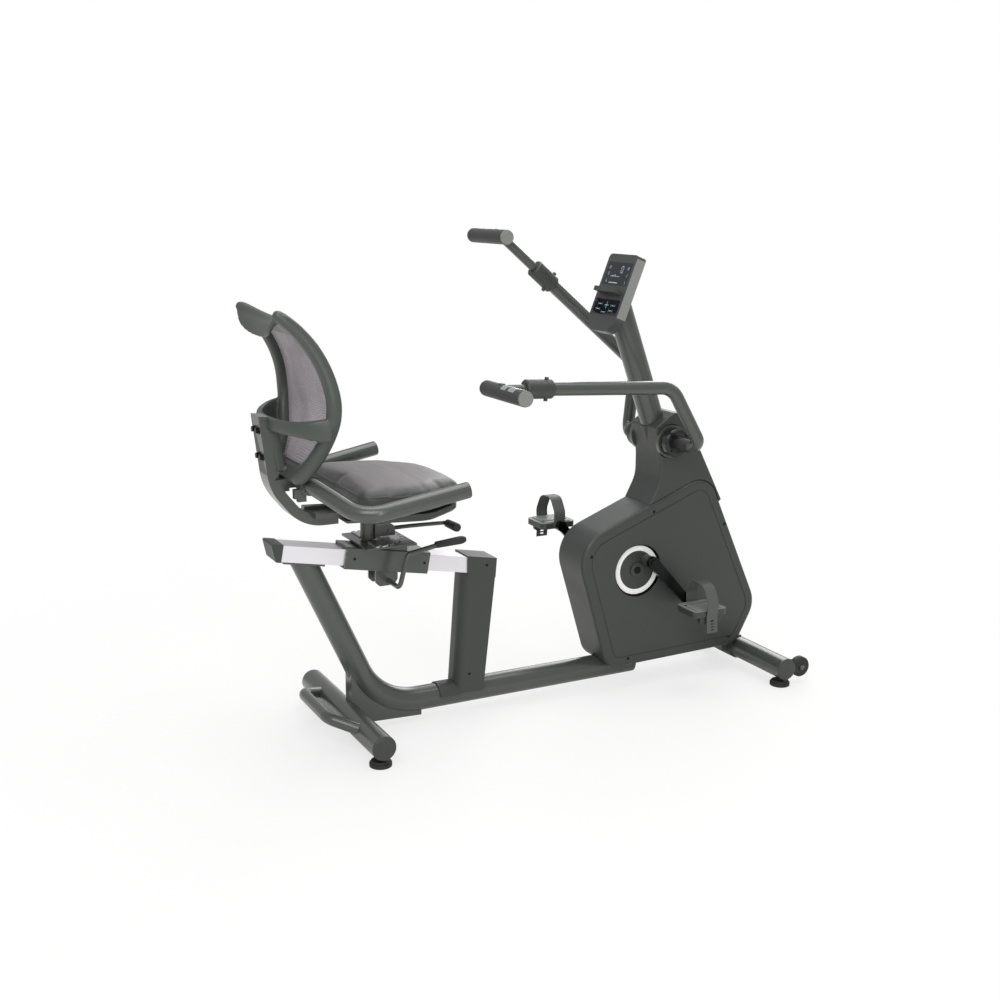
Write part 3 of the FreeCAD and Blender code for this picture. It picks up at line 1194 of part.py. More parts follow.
grip_sleeve = grip_sleeve.cut(button_box(button_gap, button_low, v.grip_radius + 5))
grip_parts = []
for low, high in ((0.50, 0.62), (0.68, 0.82)):
    start = grip_middle - Y * (grip_inner + low * v.grip_length)
    plate = Part.makeCylinder(v.grip_radius, (high - low) * v.grip_length, start, Y * -1, 360)
    plate = plate.cut(Part.makeCylinder(v.grip_radius - 1.2, v.grip_length, start, Y * -1))
    plate = plate.common(Part.makeBox(80, 500, 80, start + Vector(-80, -400, -40)))
    grip_sleeve = grip_sleeve.cut(plate)
    grip_parts.append(plate)
for start, run in ((grip_inner, 4.0), (grip_inner + v.grip_length - 4, 4.0)):
    grip_parts.append(Part.makeCylinder(v.grip_radius - 1, run, grip_middle - Y * start, Y * -1))
grip_parts.insert(0, grip_sleeve)
button_shape = button_box(0, button_low + 1.4, button_high)



def drawn(shape, side):
    """Piece of a grip on its arm, drawn out further on the left."""
    reach = v.left_reach if side > 0 else 0
    return swung(shape.translated(arm_rear * reach), side)


for hand, side in (("right", -1), ("left", 1)):
    keep(swung(arm_shape, side), f"arm_{hand}")
    keep(swung(sleeve, side), f"arm_clamp_{hand}")
    keep(drawn(stem_shape, side), f"stem_{hand}")
    keep(group(*[drawn(piece, side) for piece in grip_parts]), f"grip_{hand}")
    keep(drawn(button_shape, side), f"grip_button_{hand}")

# ---------------------------------------------------------------- housing screws

screws = []
for station, height in screw_spots:
    for side in (-1, 1):
        spot = at(station, side * screw_seat, height)
        head = Part.makeCylinder(4, 3, spot, Y * side)
        head = head.cut(Part.makeBox(1.2, 2, 6, spot + Vector(-0.6, 1.8 * side - 1 + side, -3)))
        shank = Part.makeCylinder(2, screw_seat - 43, spot, Y * -side)
        screws.append(feature(head.fuse(shank)))
keep(group(*screws), "housing_screws")

# ---------------------------------------------------------------- checks and files

doc.recompute()
failed = [obj.Name for obj in doc.Objects if "Invalid" in obj.State or "Error" in obj.State]
if failed:
    raise RuntimeError(f"objects that failed: {failed}")
for node in NODES:
    if node.Shape.isNull() or not node.Shape.isValid() or not node.Shape.Solids:
        raise RuntimeError(f"bad shape: {node.Label}")
os.makedirs("parts", exist_ok=True)
for node in NODES:
    node.Shape.exportStep(f"parts/{node.Label}.step")
print(len(NODES), "pieces written")
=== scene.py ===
"""Recumbent exercise bike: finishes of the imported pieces, and the soft and fine pieces round them.

The file is laid out as an add-on and run as a script. Lengths are metres unless a name says mm.
"""
import math

import bmesh
import bpy
from mathutils import Matrix, Vector


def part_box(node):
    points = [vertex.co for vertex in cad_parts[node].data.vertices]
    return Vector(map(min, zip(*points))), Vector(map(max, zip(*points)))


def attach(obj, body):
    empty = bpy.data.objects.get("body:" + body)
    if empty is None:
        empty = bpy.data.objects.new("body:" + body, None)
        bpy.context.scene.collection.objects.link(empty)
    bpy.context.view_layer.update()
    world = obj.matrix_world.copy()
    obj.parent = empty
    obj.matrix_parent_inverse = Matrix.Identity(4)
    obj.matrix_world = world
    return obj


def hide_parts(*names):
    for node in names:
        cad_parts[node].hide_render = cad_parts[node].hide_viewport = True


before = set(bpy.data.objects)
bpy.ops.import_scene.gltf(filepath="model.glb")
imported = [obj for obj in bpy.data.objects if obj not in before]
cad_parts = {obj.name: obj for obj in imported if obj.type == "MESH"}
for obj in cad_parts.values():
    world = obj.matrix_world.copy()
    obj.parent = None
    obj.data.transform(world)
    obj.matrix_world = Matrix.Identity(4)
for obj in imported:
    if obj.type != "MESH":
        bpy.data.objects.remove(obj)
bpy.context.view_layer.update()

bl_info = {
    "name": "Recumbent exercise bike",
    "version": (1, 0, 0),
    "blender": (4, 5, 0),
    "location": "View3D > Sidebar > Bike",
    "description": "Builds the finishes, cushion, mesh back and fine pieces of a recumbent exercise bike",
    "category": "Object",
}

MM = 0.001


# ---------------------------------------------------------------- settings

def hex_setting(name, default, description):
    """Colour setting written as sRGB hex."""
    return bpy.props.StringProperty(name=name, default=default, description=description)


def length_setting(name, default, description):
    """Length setting in metres."""
    return bpy.props.FloatProperty(name=name, default=default, description=description,
                                   unit="LENGTH", subtype="DISTANCE", precision=4)


class BikeColours(bpy.types.PropertyGroup):
    """Colours that a user would change, as sRGB hex."""
    paint: hex_setting("Frame paint", "#3F433E", "Powder coat of the steel frame")
    cover: hex_setting("Covers", "#363A37", "Moulded covers of the drive and mast foot")
    back: hex_setting("Backrest frame", "#454A46", "Moulded frame of the backrest")
    vinyl: hex_setting("Cushion", "#5E595A", "Coated cloth of the seat cushion")
    # The cushion's side colour is painted shade: the same cloth as the top, darkened where the sides face
    # away from the lamps.
    vinyl_painted_shade: hex_setting("Cushion side", "#3B3D3B", "Coated cloth round the cushion's side")
    mesh: hex_setting("Mesh", "#A79EA5", "Woven mesh of the backrest")
    ring: hex_setting("Crank ring", "#F6F6F4", "Bright ring of the crank disc")
    pad: hex_setting("Pedal pads", "#7F817D", "Soft pads on the pedals")


class BikeSizes(bpy.types.PropertyGroup):
    """Sizes that a user would change."""
    edge_round: length_setting("Edge radius", 0.8 * MM, "Visible rounding of machined and moulded edges")
    grain: length_setting("Moulding grain", 0.9 * MM, "Grain width of the covers, drawn coarse to show")


def colours():
    """The colour settings of the scene."""
    return bpy.context.scene.bike_colours


def sizes():
    """The size settings of the scene."""
    return bpy.context.scene.bike_sizes


# ---------------------------------------------------------------- materials

def linear(hex_code):
    """Linear colour of an sRGB hex value."""
    values = [int(hex_code[i:i + 2], 16) / 255 for i in (1, 3, 5)]
    return [c / 12.92 if c <= 0.04045 else ((c + 0.055) / 1.055) ** 2.4 for c in values] + [1]


def set_inputs(tree, node, values):
    """Sets or links several inputs of a node."""
    for name, value in values.items():
        if isinstance(value, bpy.types.NodeSocket):
            tree.links.new(value, node.inputs[name])
        else:
            node.inputs[name].default_value = value


def add_node(tree, kind, inputs=None, **settings):
    """Adds a node, sets its settings, and sets or links its inputs."""
    node = tree.nodes.new(kind)
    for name, value in settings.items():
        setattr(node, name, value)
    set_inputs(tree, node, inputs or {})
    return node


def new_material(name):
    """Empty node material: the material, its tree, its Principled shader and the place on the piece."""
    material = bpy.data.materials.new(name)
    material.use_nodes = True
    tree = material.node_tree
    tree.nodes.clear()
    shader = add_node(tree, "ShaderNodeBsdfPrincipled")
    add_node(tree, "ShaderNodeOutputMaterial", {"Surface": shader.outputs["BSDF"]})
    place = add_node(tree, "ShaderNodeTexCoord").outputs["Object"]
    return material, tree, shader, place


def noise(tree, place, scale, detail=2.0, distortion=0.0):
    """Cloudy value between 0 and 1."""
    inputs = {"Vector": place, "Scale": scale, "Detail": detail, "Distortion": distortion}
    return add_node(tree, "ShaderNodeTexNoise", inputs).outputs["Fac"]


def remap(tree, value, start, end, low=0.0, high=1.0, **settings):
    """Value carried from one range to another, and held within it."""
    inputs = {"Value": value, "From Min": start, "From Max": end, "To Min": low, "To Max": high}
    return add_node(tree, "ShaderNodeMapRange", inputs, **settings).outputs[0]


def blend(tree, share, first, second):
    """Colour mixed from two by a share."""
    return add_node(tree, "ShaderNodeMix", {0: share, 6: first, 7: second}, data_type="RGBA").outputs[2]


def combined(tree, operation, first, second):
    """Result of one math step on two values."""
    return add_node(tree, "ShaderNodeMath", {0: first, 1: second}, operation=operation).outputs[0]


def raised(tree, height, strength, depth_mm, **under):
    """Normal of a relief, laid over the one given as Normal."""
    inputs = {"Height": height, "Strength": strength, "Distance": depth_mm * MM, **under}
    return add_node(tree, "ShaderNodeBump", inputs).outputs[0]


def toned(colour, factor, lift=0.0):
    """A linear colour made lighter or darker."""
    return [min(1, c * factor + lift) for c in colour[:3]] + [1]


# Shared by every grained finish: the clouds in its tone and gloss, and where and how much its edges brighten,
# partly as rub wear and partly as a painted highlight.
CLOUD_SCALE = 9.0
CLOUD_GLOSS = 0.05
GRAIN_DEPTH_MM = 0.2
EDGE_FACING = (0.995, 0.80)
EDGE_BRIGHTER = (2.2, 0.02)
# Leather cells and weave are drawn coarser than the real ones so that they show.
LEATHER_CELL_MM = 1.6
CREASE_SCALE = (26, 5, 12)
THREAD_PITCH_MM = 6.0


def grained(name, hex_code, rough, grain_mm, relief, spread=0.10, stretch=(1, 1, 1), metallic=0.0,
            edge_lift=0.25, **extra):
    """Coloured solid with a fine surface grain, cloudy roughness, and rounded edges painted lighter, partly
    as rub wear and partly as a painted highlight.
    """
    material, tree, shader, place = new_material(name)
    place = add_node(tree, "ShaderNodeMapping", {"Vector": place, "Scale": stretch}).outputs[0]
    grain = noise(tree, place, 1 / (grain_mm * MM))
    cloud = noise(tree, place, CLOUD_SCALE, 5.0)
    base = linear(hex_code)
    tone = blend(tree, cloud, toned(base, 1 - spread), toned(base, 1 + spread))
    edge = add_node(tree, "ShaderNodeBevel", {"Radius": sizes().edge_round}, samples=4).outputs[0]
    face = add_node(tree, "ShaderNodeNewGeometry").outputs["Normal"]
    facing = add_node(tree, "ShaderNodeVectorMath", {0: edge, 1: face},
                      operation="DOT_PRODUCT").outputs["Value"]
    # Edges painted lighter: partly rub wear, partly a painted highlight along the rounded edges.
    edge_wear_and_highlight = remap(tree, facing, *EDGE_FACING, 0.0, edge_lift)
    tone = blend(tree, edge_wear_and_highlight, tone, toned(base, *EDGE_BRIGHTER))
    gloss = remap(tree, cloud, 0.3, 0.7, rough - CLOUD_GLOSS, rough + CLOUD_GLOSS)
    skin = raised(tree, grain, relief, GRAIN_DEPTH_MM, Normal=edge)
    set_inputs(tree, shader, {
        "Base Color": tone, "Roughness": gloss, "Normal": skin, "Metallic": metallic, **extra})
    return material


def printed_ink():
    """Pale ink that glows faintly, as on a lit display."""
    material, tree, shader, place = new_material("printed_ink")
    tone = blend(tree, noise(tree, place, 1 / (3 * MM)), linear("#7C9AAA"), linear("#B4C9D3"))
    set_inputs(tree, shader, {
        "Base Color": tone, "Roughness": 0.5, "Emission Color": tone, "Emission Strength": 0.18})
    return material


def coated_cloth(name, hex_code, shade_hex):
    """Polyurethane-coated cloth: leather grain, soft creases, satin gloss, and painted shade that darkens it
    where it turns down.
    """
    material, tree, shader, place = new_material(name)
    cells = add_node(tree, "ShaderNodeTexVoronoi", {"Vector": place, "Scale": 1 / (LEATHER_CELL_MM * MM)},
                     feature="DISTANCE_TO_EDGE").outputs["Distance"]
    across = add_node(tree, "ShaderNodeMapping", {"Vector": place, "Scale": CREASE_SCALE}).outputs[0]
    crease = noise(tree, across, 1.0, 3.0, 0.8)
    cloud = noise(tree, place, 14.0, 4.0)
    base = linear(hex_code)
    share = remap(tree, combined(tree, "MULTIPLY", cloud, crease), 0.12, 0.40)
    tone = blend(tree, share, toned(base, 0.86), toned(base, 1.14))
    face = add_node(tree, "ShaderNodeNewGeometry").outputs["Normal"]
    upward = add_node(tree, "ShaderNodeSeparateXYZ", {"Vector": face}).outputs["Z"]
    # Painted shade: the top tone fades into the darker side colour as the surface turns down from level.
    level = remap(tree, upward, 0.84, 0.996, interpolation_type="SMOOTHSTEP")
    tone = blend(tree, level, linear(shade_hex), tone)
    gloss = remap(tree, cloud, 0.0, 1.0, 0.40, 0.56)
    fold = raised(tree, crease, 0.35, 3)
    skin = raised(tree, cells, 0.22, 0.3, Normal=fold)
    set_inputs(tree, shader, {
        "Base Color": tone, "Roughness": gloss, "Normal": skin, "Sheen Weight": 0.15, "Sheen Roughness": 0.4})
    return material


def woven_mesh(hex_code):
    """Knitted mesh: threads along the weave's own map, with small gaps that let light through."""
    material, tree, shader, place = new_material("woven_mesh")
    weave = add_node(tree, "ShaderNodeUVMap", uv_map="weave").outputs[0]
    inputs = {"Vector": weave, "Scale": math.pi / (10 * (THREAD_PITCH_MM * MM)), "Distortion": 0.0}
    waves = [add_node(tree, "ShaderNodeTexWave", inputs, wave_type="BANDS", bands_direction=way,
                      wave_profile="SIN").outputs["Fac"] for way in ("X", "Y")]
    thread = combined(tree, "MAXIMUM", *waves)
    cover = remap(tree, thread, 0.42, 0.66, 0.12, 1.0)
    cloud = noise(tree, place, 12.0, 4.0)
    base = linear(hex_code)
    share = remap(tree, combined(tree, "MULTIPLY", thread, cloud), 0.05, 0.55)
    tone = blend(tree, share, toned(base, 0.55), toned(base, 1.12))
    set_inputs(tree, shader, {
        "Base Color": tone, "Roughness": 0.62, "Normal": raised(tree, thread, 0.5, 0.4), "Alpha": cover,
        "Sheen Weight": 0.25, "Sheen Roughness": 0.35})
    return material


def make_materials():
    """All finishes of the bike, by the name of the real material."""
    c, g = colours(), sizes().grain / MM
    # Each row gives colour, roughness, grain in mm, relief, and what else sets the finish apart.
    looks = {
        # Polyester powder coat on steel: satin, with a faint orange peel about 1.5 mm across.
        "powder_coat": (c.paint, 0.34, 1.5, 0.10,
                        {"spread": 0.06, "Coat Weight": 0.6, "Coat Roughness": 0.20}),
        # Spark-textured ABS: matt, with a fine moulded grain.
        "textured_abs": (c.cover, 0.44, g, 0.22, {"spread": 0.08}),
        # Glass-filled nylon: slightly glossier, smooth from the mould.
        "moulded_nylon": (c.back, 0.40, 0.8, 0.12, {"spread": 0.06}),
        # Polished black ABS of the hub covers: wet-looking gloss.
        "gloss_abs": ("#1C1E1D", 0.14, 2.0, 0.03, {"spread": 0.05, "edge_lift": 0.1}),
        # Anodised extrusion: silver, with drawing lines along its length.
        "anodised_aluminium": ("#E6E4E9", 0.30, 0.5, 0.08, {
            "spread": 0.03, "stretch": (0.02, 1, 1), "metallic": 0.6, "edge_lift": 0.05}),
        # Polished stainless steel of the pulse plates.
        "bright_steel": ("#D2D3D3", 0.22, 0.6, 0.05, {"spread": 0.05, "metallic": 1.0}),
        # Bright zinc on pressed steel.
        "zinc_plate": ("#B9BBBC", 0.28, 0.7, 0.10, {"spread": 0.10, "metallic": 1.0}),
        # Vulcanised rubber: dead matt.
        "vulcanised_rubber": ("#232423", 0.62, 0.9, 0.25, {"spread": 0.10, "edge_lift": 0.12}),
        # Soft rubber of the straps: matt with a light bloom.
        "strap_rubber": ("#4D504C", 0.50, 0.7, 0.18, {"spread": 0.10}),
        # Foamed grip sleeve: matt skin with fine pores.
        "grip_foam": ("#343635", 0.52, 0.8, 0.30, {"spread": 0.08, "edge_lift": 0.15}),
        # Light plastic of the grips' end discs and the tops of the pedals.
        "light_abs": (c.pad, 0.45, 0.9, 0.15, {"spread": 0.05}),
        # Grey cast iron, turned on its rim.
        "cast_iron": ("#55575A", 0.42, 1.2, 0.30, {"spread": 0.15, "metallic": 1.0}),
        # Rubber of the drive belt.
        "belt_rubber": ("#191919", 0.60, 1.0, 0.25, {}),
        # Console case: charcoal, finely textured.
        "console_abs": ("#3B3D3D", 0.40, g, 0.15, {"spread": 0.05}),
        # Silver lacquer on the console's sides.
        "silver_lacquer": ("#8A8C88", 0.34, 0.5, 0.05, {"spread": 0.04, "metallic": 0.2}),
        # Smoked acrylic of the display and keypad: black and glossy.
        "smoked_acrylic": ("#10151C", 0.10, 2.0, 0.0, {"spread": 0.0, "edge_lift": 0.0}),
        # Bright ring: white lacquered plastic.
        "white_lacquer": (c.ring, 0.22, 1.0, 0.02, {"spread": 0.02, "edge_lift": 0.0}),
        # Chemically blackened steel of the cranks, bolts and screws: dark, oily gloss.
        "black_oxide": ("#262728", 0.30, 0.6, 0.12, {"spread": 0.12, "metallic": 1.0}),
        # Nylon glides: milky and smooth.
        "milky_nylon": ("#B9B6AC", 0.40, 0.8, 0.05, {"spread": 0.04}),
    }
    made = {name: grained(name, *look, **more) for name, (*look, more) in looks.items()}
    made["printed_ink"] = printed_ink()
    made["coated_cloth"] = coated_cloth("coated_cloth", c.vinyl, c.vinyl_painted_shade)
    # A darker copy of the same cloth for the cushion's side and piping, as painted shade.
    made["coated_cloth_painted_shade"] = coated_cloth("coated_cloth_painted_shade", c.vinyl_painted_shade, c.vinyl_painted_shade)
    made["woven_mesh"] = woven_mesh(c.mesh)
    return made


CAD_FINISHES = {
    "powder_coat":
        "rear_stabilizer front_stabilizer wheel_brackets main_tube rear_gusset upright_tube front_saddle "
        "seat_swivel swivel_base armrest_tube back_bar drive_frame mast arm_right arm_left stem_right "
        "stem_left slide_lever swivel_lever carriage",
    "textured_abs":
        "stabilizer_caps rail_end_cap upright_cover_right upright_cover_left housing_right housing_left "
        "neck_cover_right neck_cover_left seat_pan arm_clamp_right arm_clamp_left grip_button_right "
        "grip_button_left drive_pulley pedal_right pedal_left crank_discs",
    "moulded_nylon": "backrest_frame",
    "anodised_aluminium": "seat_rail",
    "zinc_plate": "index_plate housing_screws magnet_brake",
    "black_oxide": "crank_axle crank_arms",
    "vulcanised_rubber":
        "rear_foot_right rear_foot_left front_foot_right front_foot_left transport_wheel_right "
        "transport_wheel_left",
    "strap_rubber": "pedal_strap_right pedal_strap_left",
    "grip_foam": "grip_right grip_left seat_cushion backrest_mesh",
    "console_abs": "console_body tablet_ledge",
    "cast_iron": "flywheel",
    "belt_rubber": "drive_belt",
}
FINISHES = {}


def finish(obj, name):
    """Gives an object one finish."""
    obj.data.materials.clear()
    obj.data.materials.append(FINISHES[name])


def finish_faces(node, name, test):
    """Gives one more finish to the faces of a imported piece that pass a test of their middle."""
    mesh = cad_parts[node].data
    mesh.materials.append(FINISHES[name])
    index = len(mesh.materials) - 1
    for face in mesh.polygons:
        if test(face.center, face.normal):
            face.material_index = index


# Stations count forward from the rear stabilizer, whose own place on X is STATION_0.
STATION_0 = -0.518
CRANK_AXIS = Vector((STATION_0 + 0.811, 0, 0.332))
HUB_AXIS = Vector((STATION_0 + 0.902, 0, 0.676))
CONSOLE_FOOT = Vector((STATION_0 + 0.710, 0, 0.977))
CONSOLE_TURN = Matrix.Rotation(math.radians(21.5), 3, "Y")
# A point on each grip's crosswise axis, and the way the grip's top faces.
GRIPS = {"right": (Vector((STATION_0 + 0.3163, 0, 0.8637)), Vector((0, 0, 1))),
         "left": (Vector((STATION_0 + 0.5179, 0, 1.2030)), Vector((0.6018, 0, 0.7986)))}
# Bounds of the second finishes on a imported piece. Sideways ones are distances from the middle plane.
PULSE_PLATES = ((0.2408, 0.2652), (0.2768, 0.3052))
PLATE_RISE = 0.0118
PLATE_RADIUS = 0.0175
SLEEVE_IN, SLEEVE_OUT = 0.1451, 0.3369
PAD_DEPTH = 0.0026
FLANGE_IN, FLANGE_OUT, FLANGE_RADIUS = 0.073, 0.0985, 0.039
BOOT_OUT, BOOT_RADIUS = 0.146, 0.032
CLAMP_SIDE, CLAMP_HALF = 0.172, 0.0236
DISC_FACE, RING_IN, RING_OUT = 0.0577, 0.0525, 0.0675
KNOB_STATION, KNOB_HEIGHT, KNOB_SIDE = 0.2033, 0.473, -0.0835
TIP_STATION = 0.2585
REST_TIP_STATION, REST_TIP_SIDE = 0.1832, 0.2629
BOLT_STATION = -0.1949
BOLT_HEIGHTS = ((0.772, 0.790), (0.709, 0.727))
BOLT_IN, BOLT_OUT = 0.004, 0.024
PANE_HEIGHTS = ((0.1148, 0.1772), (0.0358, 0.0782))
PANE_DEPTH, PANE_HALF = 0.0018, 0.0581
CASE_FLAT_HALF = 0.0665


def from_axis(point, axis):
    """Distance of a point from a crosswise axis."""
    return math.hypot(point.x - axis.x, point.z - axis.z)


def on_console(point):
    """A place in the console's own frame: depth, side, height."""
    return CONSOLE_TURN.inverted() @ (point - CONSOLE_FOOT)


def station(point):
    """Distance ahead of the rear stabilizer."""
    return point.x - STATION_0


def in_spans(value, spans):
    """True if a value lies inside one of several spans."""
    return any(low < value < high for low, high in spans)


def is_pane(centre, normal):
    """Faces of the display and keypad panes."""
    spot = on_console(centre)
    return spot.x < PANE_DEPTH and abs(spot.y) < PANE_HALF and in_spans(spot.z, PANE_HEIGHTS)


def is_console_side(centre, normal):
    """Flat sides of the console, short of its corners."""
    return abs(normal.y) > 0.9 and abs(on_console(centre).y) > CASE_FLAT_HALF


class BIKE_OT_finishes(bpy.types.Operator):
    """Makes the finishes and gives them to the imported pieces"""
    bl_idname = "bike.finishes"
    bl_label = "Finishes"

    def execute(self, context):
        FINISHES.update(make_materials())
        for name, nodes in CAD_FINISHES.items():
            for node in nodes.split():
                finish(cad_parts[node], name)
        for hand, (axis, up) in GRIPS.items():
            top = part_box(f"pedal_{hand}")[1][2]
            for node, name, test in (
                    ("grip", "bright_steel", lambda c, n: in_spans(abs(c.y), PULSE_PLATES)
                     and (c - axis).dot(up) > PLATE_RISE and from_axis(c, axis) > PLATE_RADIUS),
                    ("grip", "light_abs", lambda c, n: not SLEEVE_IN < abs(c.y) < SLEEVE_OUT),
                    ("pedal", "light_abs", lambda c, n: c.z > top - PAD_DEPTH),
                    ("arm", "gloss_abs", lambda c, n: FLANGE_IN < abs(c.y) < FLANGE_OUT
                     and from_axis(c, HUB_AXIS) < FLANGE_RADIUS),
                    ("arm", "vulcanised_rubber", lambda c, n: FLANGE_OUT <= abs(c.y) < BOOT_OUT
                     and from_axis(c, HUB_AXIS) < BOOT_RADIUS),
                    ("arm_clamp", "black_oxide", lambda c, n: abs(abs(c.y) - CLAMP_SIDE) > CLAMP_HALF)):
                finish_faces(f"{node}_{hand}", name, test)
        finish_faces("console_body", "smoked_acrylic", is_pane)
        finish_faces("console_body", "silver_lacquer", is_console_side)
        finish_faces("crank_discs", "white_lacquer",
                     lambda c, n: abs(c.y) > DISC_FACE and RING_IN < from_axis(c, CRANK_AXIS) < RING_OUT)
        finish_faces("slide_lever", "vulcanised_rubber",
                     lambda c, n: station(c) > KNOB_STATION and c.z > KNOB_HEIGHT and c.y < KNOB_SIDE)
        finish_faces("swivel_lever", "vulcanised_rubber", lambda c, n: station(c) > TIP_STATION)
        finish_faces("armrest_tube", "textured_abs",
                     lambda c, n: station(c) > REST_TIP_STATION and abs(c.y) > REST_TIP_SIDE)
        finish_faces("back_bar", "black_oxide",
                     lambda c, n: station(c) < BOLT_STATION and in_spans(c.z, BOLT_HEIGHTS)
                     and BOLT_IN < abs(c.y) < BOLT_OUT)
        return {"FINISHED"}


# ---------------------------------------------------------------- helpers for pieces

def activate(obj):
    """Selects one object alone and makes it active."""
    bpy.ops.object.select_all(action="DESELECT")
    obj.select_set(True)
    bpy.context.view_layer.objects.active = obj


def apply_modifier(obj, kind, name, **settings):
    """Adds a modifier with its settings and applies it."""
    modifier = obj.modifiers.new(name, kind)
    for key, value in settings.items():
        setattr(modifier, key, value)
    activate(obj)
    bpy.ops.object.modifier_apply(modifier=name)


def smooth(obj, degrees=35):
    """Smooth shading that keeps edges sharper than an angle."""
    activate(obj)
    bpy.ops.object.shade_smooth_by_angle(angle=math.radians(degrees))


def new_object(name, data):
    """Object in the scene round a mesh, curve, lamp or camera."""
    obj = bpy.data.objects.new(name, data)
    bpy.context.scene.collection.objects.link(obj)
    return obj


def from_bmesh(name, built):
    """Object made of a bmesh, which is freed."""
    mesh = bpy.data.meshes.new(name)
    built.to_mesh(mesh)
    built.free()
    return new_object(name, mesh)


def loft(name, rings, closed_run=True, caps=False):
    """Mesh through closed rings of points, with the run of rings closed or open."""
    built = bmesh.new()
    rows = [[built.verts.new(point) for point in ring] for ring in rings]
    count = len(rows)
    for i in range(count if closed_run else count - 1):
        low, high = rows[i], rows[(i + 1) % count]
        for j in range(len(low)):
            k = (j + 1) % len(low)
            built.faces.new((low[j], low[k], high[k], high[j]))
    if caps:
        built.faces.new(rows[0])
        built.faces.new(reversed(rows[-1]))
    bmesh.ops.recalc_face_normals(built, faces=built.faces)
    return from_bmesh(name, built)


def join(name, *objs):
    """Joins objects into the first one."""
    bpy.ops.object.select_all(action="DESELECT")
    for obj in objs:
        obj.select_set(True)
    bpy.context.view_layer.objects.active = objs[0]
    bpy.ops.object.join()
    objs[0].name = name
    return objs[0]


def settle(obj):
    """Puts an object's place into its mesh."""
    activate(obj)
    bpy.ops.object.transform_apply(location=True, rotation=True, scale=True)
    return obj


def mount_piece(piece, body, finish_name):
    """Rides a finished piece on its body and finish."""
    finish(piece, finish_name)
    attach(piece, body)


# ---------------------------------------------------------------- backrest

# Side curve as three points of station and height; loops as corners of side, height and radius.
SPINE = ((-0.146, 0.664), (-0.078, 0.860), (-0.174, 1.040))
BACK_CENTRE_HEIGHT = 0.868
OUTER_LOOP = [(-0.112, 0.664, 0.050), (-0.198, 0.835, 0.120), (-0.152, 1.063, 0.026),
              (0.152, 1.063, 0.026), (0.198, 0.835, 0.120), (0.112, 0.664, 0.050)]
INNER_LOOP = [(-0.084, 0.702, 0.026), (-0.167, 0.835, 0.120), (-0.122, 1.010, 0.026),
              (0.122, 1.010, 0.026), (0.167, 0.835, 0.120), (0.084, 0.702, 0.026)]
BACK_VOXEL = 0.0024
RIM_HALF_DEPTH = 0.0165
RIM_THINNER_TOP = 0.0015
RIM_SQUARENESS = 0.72
TOP_DIP = 0.030
TOP_DIP_HALF = 0.150
LIP_HALF = 0.148
LIP_BACK = 0.034
LIP_DROP = 0.034
LIP_THICK = 0.0060
LIP_BELOW_EDGE = 0.007
LIP_AHEAD = 0.006
LIP_END_DROP = 0.004
BOW_STATION = STATION_0 - 0.086
BOW_HEIGHT = 0.797
BOW_HALF_WIDTH = 0.176
BOW_DEPTH = 0.094
BOW_HALF_THICK = 0.0085
BOW_HALF_TALL = 0.0165
BOW_SQUARENESS = 0.7
RIB_STATION = STATION_0 - 0.164
RIB_HEIGHT = 0.742
RIB_SIDE = 0.024
RIB_SIZE = (0.022, 0.011, 0.115)
RIB_LEAN = math.radians(-9)
MESH_TUCK = 0.004
MESH_SAG = 0.006
MESH_AHEAD = 0.004
MESH_ROW_REACH = 0.006
MESH_END_HALF = 0.08
MESH_THICK = 0.0008


def spine_circle():
    """Centre and radius of the backrest's side curve, as station and height."""
    (x1, z1), (x2, z2), (x3, z3) = SPINE
    a = Matrix(((x2 - x1, z2 - z1), (x3 - x1, z3 - z1)))
    b = Vector(((x2 * x2 - x1 * x1 + z2 * z2 - z1 * z1) / 2, (x3 * x3 - x1 * x1 + z3 * z3 - z1 * z1) / 2))
    centre = a.inverted() @ b
    return centre, (centre - Vector((x1, z1))).length


def on_back(side, height, out=0.0):
    """Point on the backrest's curved face, or out in front of it."""
    centre, radius = spine_circle()
    lift = max(-1, min(1, (height - centre.y) / radius))
    turn = math.asin(lift)
    reach = radius + out
    return Vector((STATION_0 + centre.x + reach * math.cos(turn), side, centre.y + reach * math.sin(turn)))


def rounded_loop(corners, steps=12):
    """Closed polyline of (side, height) through corners given as (side, height, radius)."""
    points = []
    for i, (a, b, radius) in enumerate(corners):
        corner = Vector((a, b))
        back = (Vector(corners[i - 1][:2]) - corner).normalized()
        ahead = (Vector(corners[(i + 1) % len(corners)][:2]) - corner).normalized()
        half = back.angle(ahead) / 2
        reach = radius / math.tan(half)
        middle = (back + ahead).normalized()
        centre = corner + middle * (radius / math.sin(half))
        start, end = corner + back * reach - centre, corner + ahead * reach - centre
        sweep = start.angle_signed(end)
        for k in range(steps + 1):
            turn = Matrix.Rotation(-sweep * k / steps, 2)
            points.append(centre + turn @ start)
    return points


def polar(loop, count):
    """Distances from the backrest's middle to a loop at evenly spaced angles."""
    middle = Vector((0, BACK_CENTRE_HEIGHT))
    circle = 2 * math.pi
    known = sorted((math.atan2(p.y - middle.y, p.x), (p - middle).length) for p in densified(loop))
    reaches = []
    for k in range(count):
        angle = -math.pi + circle * k / count
        below = [entry for entry in known if entry[0] <= angle] or [(known[-1][0] - circle, known[-1][1])]
        above = [entry for entry in known if entry[0] > angle] or [(known[0][0] + circle, known[0][1])]
        low, high = below[-1], above[0]
        share = (angle - low[0]) / max(1e-9, high[0] - low[0])
        reaches.append((angle, low[1] + share * (high[1] - low[1])))
    return reaches


